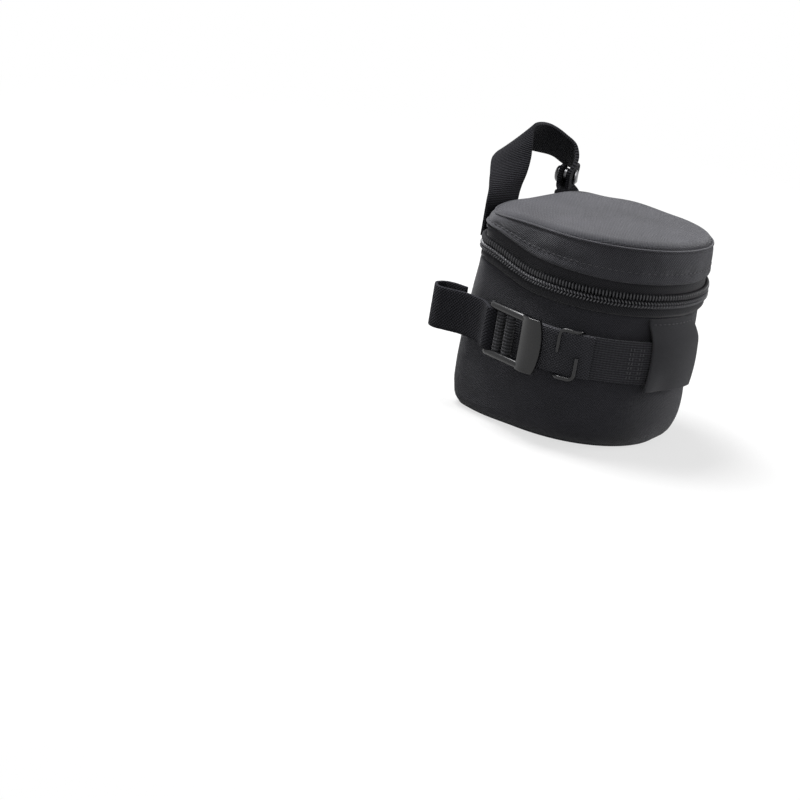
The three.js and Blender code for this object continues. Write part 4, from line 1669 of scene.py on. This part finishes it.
@dataclass
class Buckle:
    """Ladder buckle on the left side, with webbing folded over its two bars."""

    dresser: Dresser
    face: float = -53.4
    inside: float = -50.8
    rear: float = 18.5
    front: float = -15.0
    slot: float = -2.6
    low: float = 32.2
    high: float = 57.8
    rail: float = 3.5
    rail_out: float = 1.6
    rail_front: float = -8.0
    rear_bar: float = 2.2
    bars: tuple[float, float] = (11.5, 5.5)
    bar_half: float = 1.2
    plate: float = 2.6
    fold_low: float = 35.0
    fold_long: float = 20.0
    fold_half: float = 2.0
    fold_back: float = 0.7

    def build(self) -> None:
        """Model and dress the buckle."""
        parts = [self.thumb()]
        for z in (self.high - self.rail, self.low):
            start = (self.face - self.rail_out, self.rail_front, z)
            parts.append(rounded_box("rail", start, (self.inside, self.rear, z + self.rail), 1.7, 4))
        start = (self.face, self.rear - self.rear_bar, self.low)
        parts.append(rounded_box("bar", start, (self.inside, self.rear, self.high), 0.8))
        for y in self.bars:
            start = (self.face, y - self.bar_half, self.low + 1)
            parts.append(rounded_box("bar", start, (self.inside, y + self.bar_half, self.high - 1), 0.7))
        piece = joined("ladder_buckle_moulding", *parts)
        self.dresser.wear(piece, Finish.ACETAL, "buckle", "ladder_buckle")
        self.fold("webbing_over_rear_bar", self.bars[0], "webbing_fold_rear")
        self.fold("webbing_over_front_bar", self.bars[1], "webbing_fold_front")

    def thumb(self) -> bpy.types.Object:
        """Model the thumb plate, bowed outwards and with a curved free edge.

        Returns:
            The new object.
        """

        def place(s: np.ndarray, t: np.ndarray) -> np.ndarray:
            """Points at shares forward from the slot and up the plate.

            Args:
                s: share forward from the slot, from 0 to 1.
                t: share up the plate, from 0 to 1.

            Returns:
                Rows of points in millimetres.
            """
            height = self.low + (self.high - self.low) * t
            centred = 2 * t - 1
            edge = self.front + 2.4 * centred**2
            y = (edge - self.slot) * s + self.slot
            bow = 1.5 * np.sin(math.pi * (0.15 + 0.85 * s)) + 0.5 * centred**4
            return np.column_stack([self.face - 0.3 - bow, y, height])

        piece = grid("thumb", (24, 30), place, (15, 25))
        edit(piece, bpy.ops.mesh.flip_normals)
        thicken(piece, self.plate, 1.0)
        round_edges(piece, 0.8, 3)
        shade(piece)
        return piece

    def fold(self, name: str, middle: float, node: str) -> None:
        """Webbing folded round one bar.

        Args:
            name: name of the piece.
            middle: the bar's place from front to back.
            node: the CAD node that it stands for.
        """
        centre = (self.face + self.inside) / 2

        def place(s: np.ndarray, t: np.ndarray) -> np.ndarray:
            """Points at shares round the fold and up it, drawn to one point at each end.

            Args:
                s: share round the fold, from 0 to 1.
                t: share up it, from 0 to 1.

            Returns:
                Rows of points in millimetres.
            """
            angle = 2 * math.pi * s
            row = np.clip(t * 1.04 - 0.02, 0, 1)
            half = np.where((t < 0.01) | (t > 0.99), 0.0, self.fold_half)
            x = centre + half * np.sign(np.cos(angle)) * np.abs(np.cos(angle)) ** 0.7
            y = middle + self.fold_back + half * np.sign(np.sin(angle)) * np.abs(np.sin(angle)) ** 0.8
            return np.column_stack([x, y, self.fold_low + self.fold_long * row])

        piece = grid(name, (24, 40), place, (13, 20), join=True)
        edit(piece, face_out)
        shade(piece, 60)
        self.dresser.wear(piece, Finish.FOLD, "buckle", node)


@dataclass
class BeltLoop:
    """Wide webbing that runs back from under the buckle and folds into a loop behind the corner."""

    dresser: Dresser
    width: float = 20.0
    thick: float = 1.6
    path: tuple[tuple[float, float, float], ...] = (
        (-49.4, 15.0, 45.0),
        (-52.4, 15.1, 45.0),
        (-54.3, 16.2, 45.0),
        (-54.5, 18.6, 45.0),
        (-52.6, 21.2, 45.0),
        (-50.2, 25.5, 45.0),
        (-49.4, 32.0, 44.9),
        (-49.8, 39.0, 44.6),
        (-51.3, 47.7, 43.8),
        (-52.1, 52.5, 43.4),
        (-51.1, 56.1, 43.3),
        (-48.1, 58.5, 43.6),
        (-45.1, 56.1, 44.2),
        (-44.1, 52.5, 44.6),
        (-42.8, 44.2, 44.8),
    )

    def build(self) -> None:
        """Model and dress the loop."""
        stations = [(*point, 0, 0, 1) for point in self.path]
        piece = ribbon("belt_loop_webbing", stations, self.width, self.thick, (160, 10))
        self.dresser.wear(piece, Finish.LOOP, "pouch", "belt_loop")


@dataclass
class HangingLoop:
    """Loop on the back of the lid, sewn at one end and pressed to a tab at the other.

    Stations are rows of a point and the direction across the webbing. Profiles of turned parts are rows of
    radius and height.
    """

    dresser: Dresser
    width: float = 20.0
    thick: float = 1.6
    leg_x: float = -25.0
    tab_x: float = 19.0
    leg_y: float = 48.4
    sewn: tuple[float, ...] = (78.0, 84.0, 90.0)
    tab_foot: float = 95.1
    ply: tuple[float, float, float] = (22.5, 49.67, 102.4)
    tab: tuple[float, float, float] = (20.0, 54.0, 102.4)
    axis: tuple[float, float, float] = (0.5, -0.866, 0.0)
    across: tuple[float, float, float] = (0.866, 0.5, 0.0)
    stack: float = 5.0
    fold: tuple[Sequence[float], Sequence[float]] = ((0, 49.2, 93.4), (0, 49.2, 96.4))
    arch: tuple[tuple[float, ...], ...] = (
        (-22.8, 50.0, 99.6, -1, 0.04, -0.03),
        (-18.6, 53.2, 104.6, -0.95, 0.25, -0.15),
        (-13.6, 57.4, 109.2, -0.8, 0.45, -0.32),
        (-8.0, 62.4, 114.2, -0.5, 0.64, -0.55),
        (-1.0, 66.2, 117.8, -0.15, 0.66, -0.72),
        (7.0, 67.0, 118.4, 0.1, 0.62, -0.78),
        (16.5, 65.2, 117.0, 0.28, 0.55, -0.79),
        (23.5, 62.0, 114.2, 0.38, 0.62, -0.68),
        (27.0, 57.6, 110.8, 0.42, 0.64, -0.62),
        (25.8, 53.0, 107.8, 0.62, 0.68, -0.38),
    )
    cap: Profile = ((0, -2.0), (1.6, -1.95), (2.9, -1.6), (3.7, -1.0), (4.0, -0.4), (4.0, 0.0), (0, 0.0))
    ring: Profile = (
        (0, 0.5),
        (2.6, 0.5),
        (2.6, 1.6),
        (2.8, 1.75),
        (3.2, 1.7),
        (3.5, 1.3),
        (3.5, 0.2),
        (3.2, 0.0),
        (0, 0.0),
    )
    knob: Profile = (
        (0, -0.85),
        (1.5, -0.8),
        (1.9, -0.5),
        (1.7, 0.0),
        (3.2, 0.0),
        (3.5, 0.2),
        (3.5, 0.7),
        (3.2, 0.9),
        (0, 0.9),
    )
    post: Profile = ((0, 0.0), (3.4, 0.0), (3.5, 0.3), (3.0, 0.7), (1.8, 0.95), (0, 1.0))

    def build(self) -> None:
        """Model and dress the loop, the tab and the press stud."""
        self.loop()
        self.tab_webbing()
        self.press_stud()
        self.sewing()

    def loop(self) -> None:
        """Webbing of the loop, in one piece with its sewn end."""
        stations = [(self.leg_x, self.leg_y, height, -1, 0, 0) for height in (*self.sewn, 95.0)]
        stations += self.arch
        stations += [(*self.ply[:2], self.ply[2] + rise, *self.across) for rise in (3.8, 0.0, -4.6)]
        piece = ribbon("hanging_loop_webbing", stations, self.width, self.thick, (220, 10))
        self.dresser.bend(piece, Finish.HANG, ("lid", "hang_loop"), self.fold, "loop_leg", "loop_strap")

    def tab_webbing(self) -> None:
        """Tab with the socket, and its sewn end."""
        x, y, z = self.tab_x, self.leg_y, self.tab_foot
        base = [(x, y, height, 1, 0, 0) for height in (*self.sewn, 95.3)]
        sewn = ribbon("snap_tab_sewn_end", base, 15.8, self.thick - 0.1, (30, 8))
        self.dresser.wear(sewn, Finish.HANG, "lid", "snap_tab_base")
        deep = self.tab[1] - y
        free = [(x, y, z - 1, 1, 0, 0), (x, y, z, 1, 0, 0), (x, y + 0.11 * deep, z + 1, 1, 0.06, 0)]
        free += [(x + 0.3, y + 0.5 * deep, z + 2.4, 0.92, 0.38, 0.08)]
        free += [(*self.tab[:2], z + rise, *self.across) for rise in (3.6, 6.3, 12.3)]
        piece = ribbon("snap_tab_webbing", free, (16.0, 11.0), self.thick, (50, 8))
        self.dresser.wear(piece, Finish.HANG, "stud_tab", "snap_tab")

    def stud_frame(self, offset: float) -> Matrix:
        """Frame on the stud's axis, Z towards the loop."""
        at = [t + a * offset for t, a in zip(self.tab, self.axis)]
        return axes_at(at, self.across, self.axis)

    def press_stud(self) -> None:
        """The four turned parts of the press stud, at their offsets from the middle of the tab."""
        half = self.thick / 2
        parts = (
            ("snap_cap_turned", self.cap, -half - 0.6, "stud_tab", "snap_cap"),
            ("snap_socket_turned", self.ring, half + 0.3, "stud_tab", "snap_socket"),
            ("snap_stud_turned", self.knob, half + 2.2, "hang_loop", "snap_stud"),
            ("snap_post_turned", self.post, self.stack + half + 0.6, "hang_loop", "snap_post"),
        )
        for name, profile, offset, body, node in parts:
            piece = turned(name, profile, self.stud_frame(offset))
            self.dresser.wear(piece, Finish.METAL, body, node)

    def sewing(self) -> None:
        """Boxes of stitches through the two sewn ends, each with one diagonal."""
        out = self.leg_y + self.thick / 2 + 0.05
        low, high = 80.0, 91.0
        frames = []
        for x, half in ((self.leg_x, 8.0), (self.tab_x, 6.2)):
            left, right = x - half, x + half
            box = [(left, low), (right, low), (right, high), (left, high), (left, low), (right, high)]
            for a, b in zip(box, box[1:]):
                points = np.array([(a[0], out, a[1]), (b[0], out, b[1])])
                frames += path_frames(points, np.array([(0, 1.0, 0)] * 2), 2.3)
        row = stitches("sewn_end_stitches", frames, 1.8)
        self.dresser.wear(row, Finish.THREAD, "lid")


@dataclass
class Fittings:
    """Zip slider and pull, rounded from the frame's own solids."""

    dresser: Dresser
    frame: dict
    edge: float = 0.32

    def build(self) -> None:
        """Model and dress the slider and the pull."""
        for node, body in (("zip_slider", "slider"), ("zip_pull", "pull")):
            piece = self.rounded(node + "_cast", node)
            self.dresser.wear(piece, Finish.METAL, body, node)

    def rounded(self, name: str, node: str) -> bpy.types.Object:
        """Copy a CAD node's solid and round its edges.

        Args:
            name: name of the piece.
            node: the CAD node.

        Returns:
            The new object.
        """
        mesh = self.frame["nodes"][node].data.copy()
        mesh.name = name
        piece = bpy.data.objects.new(name, mesh)
        bpy.context.scene.collection.objects.link(piece)
        edit(piece, weld, lambda: bpy.ops.mesh.dissolve_limited(angle_limit=math.radians(1)))
        round_edges(piece, self.edge, 2)
        shade(piece)
        return piece


@dataclass
class Studio:
    """Camera, soft lights and the pale floor."""

    azimuth: float = -47.0
    elevation: float = 17.8
    roll: float = 9.6
    distance: float = 1530.0
    lens: float = 148.7
    aim: tuple[float, float, float] = (0.0, 0.0, 50.0)
    shift: tuple[float, float] = (91.3, 37.78)
    lamp_aim: tuple[float, float, float] = (0.0, 0.0, 0.05)

    def build(self) -> None:
        """Set the stage."""
        self.camera()
        self.floor()
        self.lights()
        self.sky()
        bpy.context.scene.view_settings.view_transform = "Standard"

    def camera(self) -> None:
        """Long lens from the front left, held a little tilted as in the photograph."""
        az, el, roll = (math.radians(angle) for angle in (self.azimuth, self.elevation, self.roll))
        right = Vector((math.cos(az), math.sin(az), 0))
        look = Vector((-math.sin(az) * math.cos(el), math.cos(az) * math.cos(el), -math.sin(el)))
        up = right.cross(look)
        x = right * math.cos(roll) + up * math.sin(roll)
        y = up * math.cos(roll) - right * math.sin(roll)
        at = Vector(self.aim) - x * self.shift[0] - y * self.shift[1] - look * self.distance
        made = bpy.data.objects.new("camera", bpy.data.cameras.new("camera"))
        made.data.lens = self.lens
        made.data.clip_end = 200.0
        made.matrix_world = Matrix.Translation(at * MM) @ Matrix((x, y, -look)).transposed().to_4x4()
        bpy.context.scene.collection.objects.link(made)
        bpy.context.scene.camera = made

    @staticmethod
    def seen(nodes: Nodes) -> bpy.types.Node:
        """Tell the rays that show the background: those of the eye and those that metal or glass sends on.

        Args:
            nodes: the nodes of the floor or the world.

        Returns:
            A node whose output is 1 for these rays and 0 for the others.
        """
        path = nodes.add("LightPath").outputs
        direct = nodes.add("Math", (path["Is Camera Ray"], path["Is Glossy Ray"]), operation="MAXIMUM")
        return nodes.add("Math", (direct, path["Is Transmission Ray"]), operation="MAXIMUM")

    def floor(self) -> None:
        """Pale floor that keeps the shadow."""
        deselect()
        bpy.ops.mesh.primitive_plane_add(size=80.0)
        plane = bpy.context.object
        plane.name = "floor"
        made = bpy.data.materials.new("white_paper_floor")
        made.use_nodes = True
        nodes = Nodes(made.node_tree)
        # The eye sees white paper with a soft shadow, and the pouch gets only a little light back from it
        seen = self.seen(nodes)
        tints = {0: seen, 6: linear("#5e5e60"), 7: linear("#f6f6f6")}
        paper = nodes.add("BsdfDiffuse", {"Color": nodes.add("Mix", tints, data_type="RGBA").outputs[2]})
        glow = nodes.add("Emission", {"Color": linear("#ffffff"), "Strength": seen})
        place = nodes.add("TexCoord").outputs["Object"]
        away = nodes.add("VectorMath", (place,), operation="LENGTH").outputs["Value"]
        spread = {"Value": away, "From Min": 0.2, "From Max": 0.6, "To Min": 0.68, "To Max": 1.0}
        far = nodes.add("MapRange", spread, interpolation_type="SMOOTHSTEP")
        share = nodes.add("Math", (seen, far), operation="MULTIPLY")
        nodes.add("OutputMaterial", {"Surface": nodes.add("MixShader", (share, paper, glow))})
        plane.data.materials.append(made)

    def lights(self) -> None:
        """Large soft key overhead, a fill from the front and a rim from the right."""
        # Names with places and sizes in metres and powers in watts
        lamps = (
            ("key", (-0.1, 0.42, 1.05), 0.5, 18.0),
            ("fill", (-0.9, -1.3, 0.7), 0.9, 2.8),
            ("rim", (1.2, -0.7, 0.45), 0.6, 8.5),
        )
        for name, spot, size, power in lamps:
            lamp = bpy.data.lights.new(name, "AREA")
            lamp.size = size
            lamp.energy = power
            made = bpy.data.objects.new(name, lamp)
            made.location = spot
            made.rotation_euler = (Vector(self.lamp_aim) - Vector(spot)).to_track_quat("-Z", "Y").to_euler()
            bpy.context.scene.collection.objects.link(made)

    def sky(self) -> None:
        """White surroundings, dimmer as light than as background."""
        world = bpy.data.worlds.new("white_surround")
        world.use_nodes = True
        nodes = Nodes(world.node_tree)
        strength = nodes.add("Math", (self.seen(nodes), 0.82, 0.18), operation="MULTIPLY_ADD")
        glow = nodes.add("Background", {"Color": linear("#ffffff"), "Strength": strength})
        nodes.add("OutputWorld", {"Surface": glow})
        bpy.context.scene.world = world


def main() -> None:
    """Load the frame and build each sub-assembly in order."""
    logging.basicConfig(level=logging.INFO, format="%(name)s: %(message)s")
    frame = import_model()
    plan, dresser = Plan(), Dresser()
    Body(plan, dresser).build()
    Zip(plan, dresser).build()
    Lid(plan, dresser).build()
    SideStrap(plan, dresser).build()
    Buckle(dresser).build()
    BeltLoop(dresser).build()
    HangingLoop(dresser).build()
    Fittings(dresser, frame).build()
    Studio().build()
    deselect()


if __name__ == "__main__":
    main()
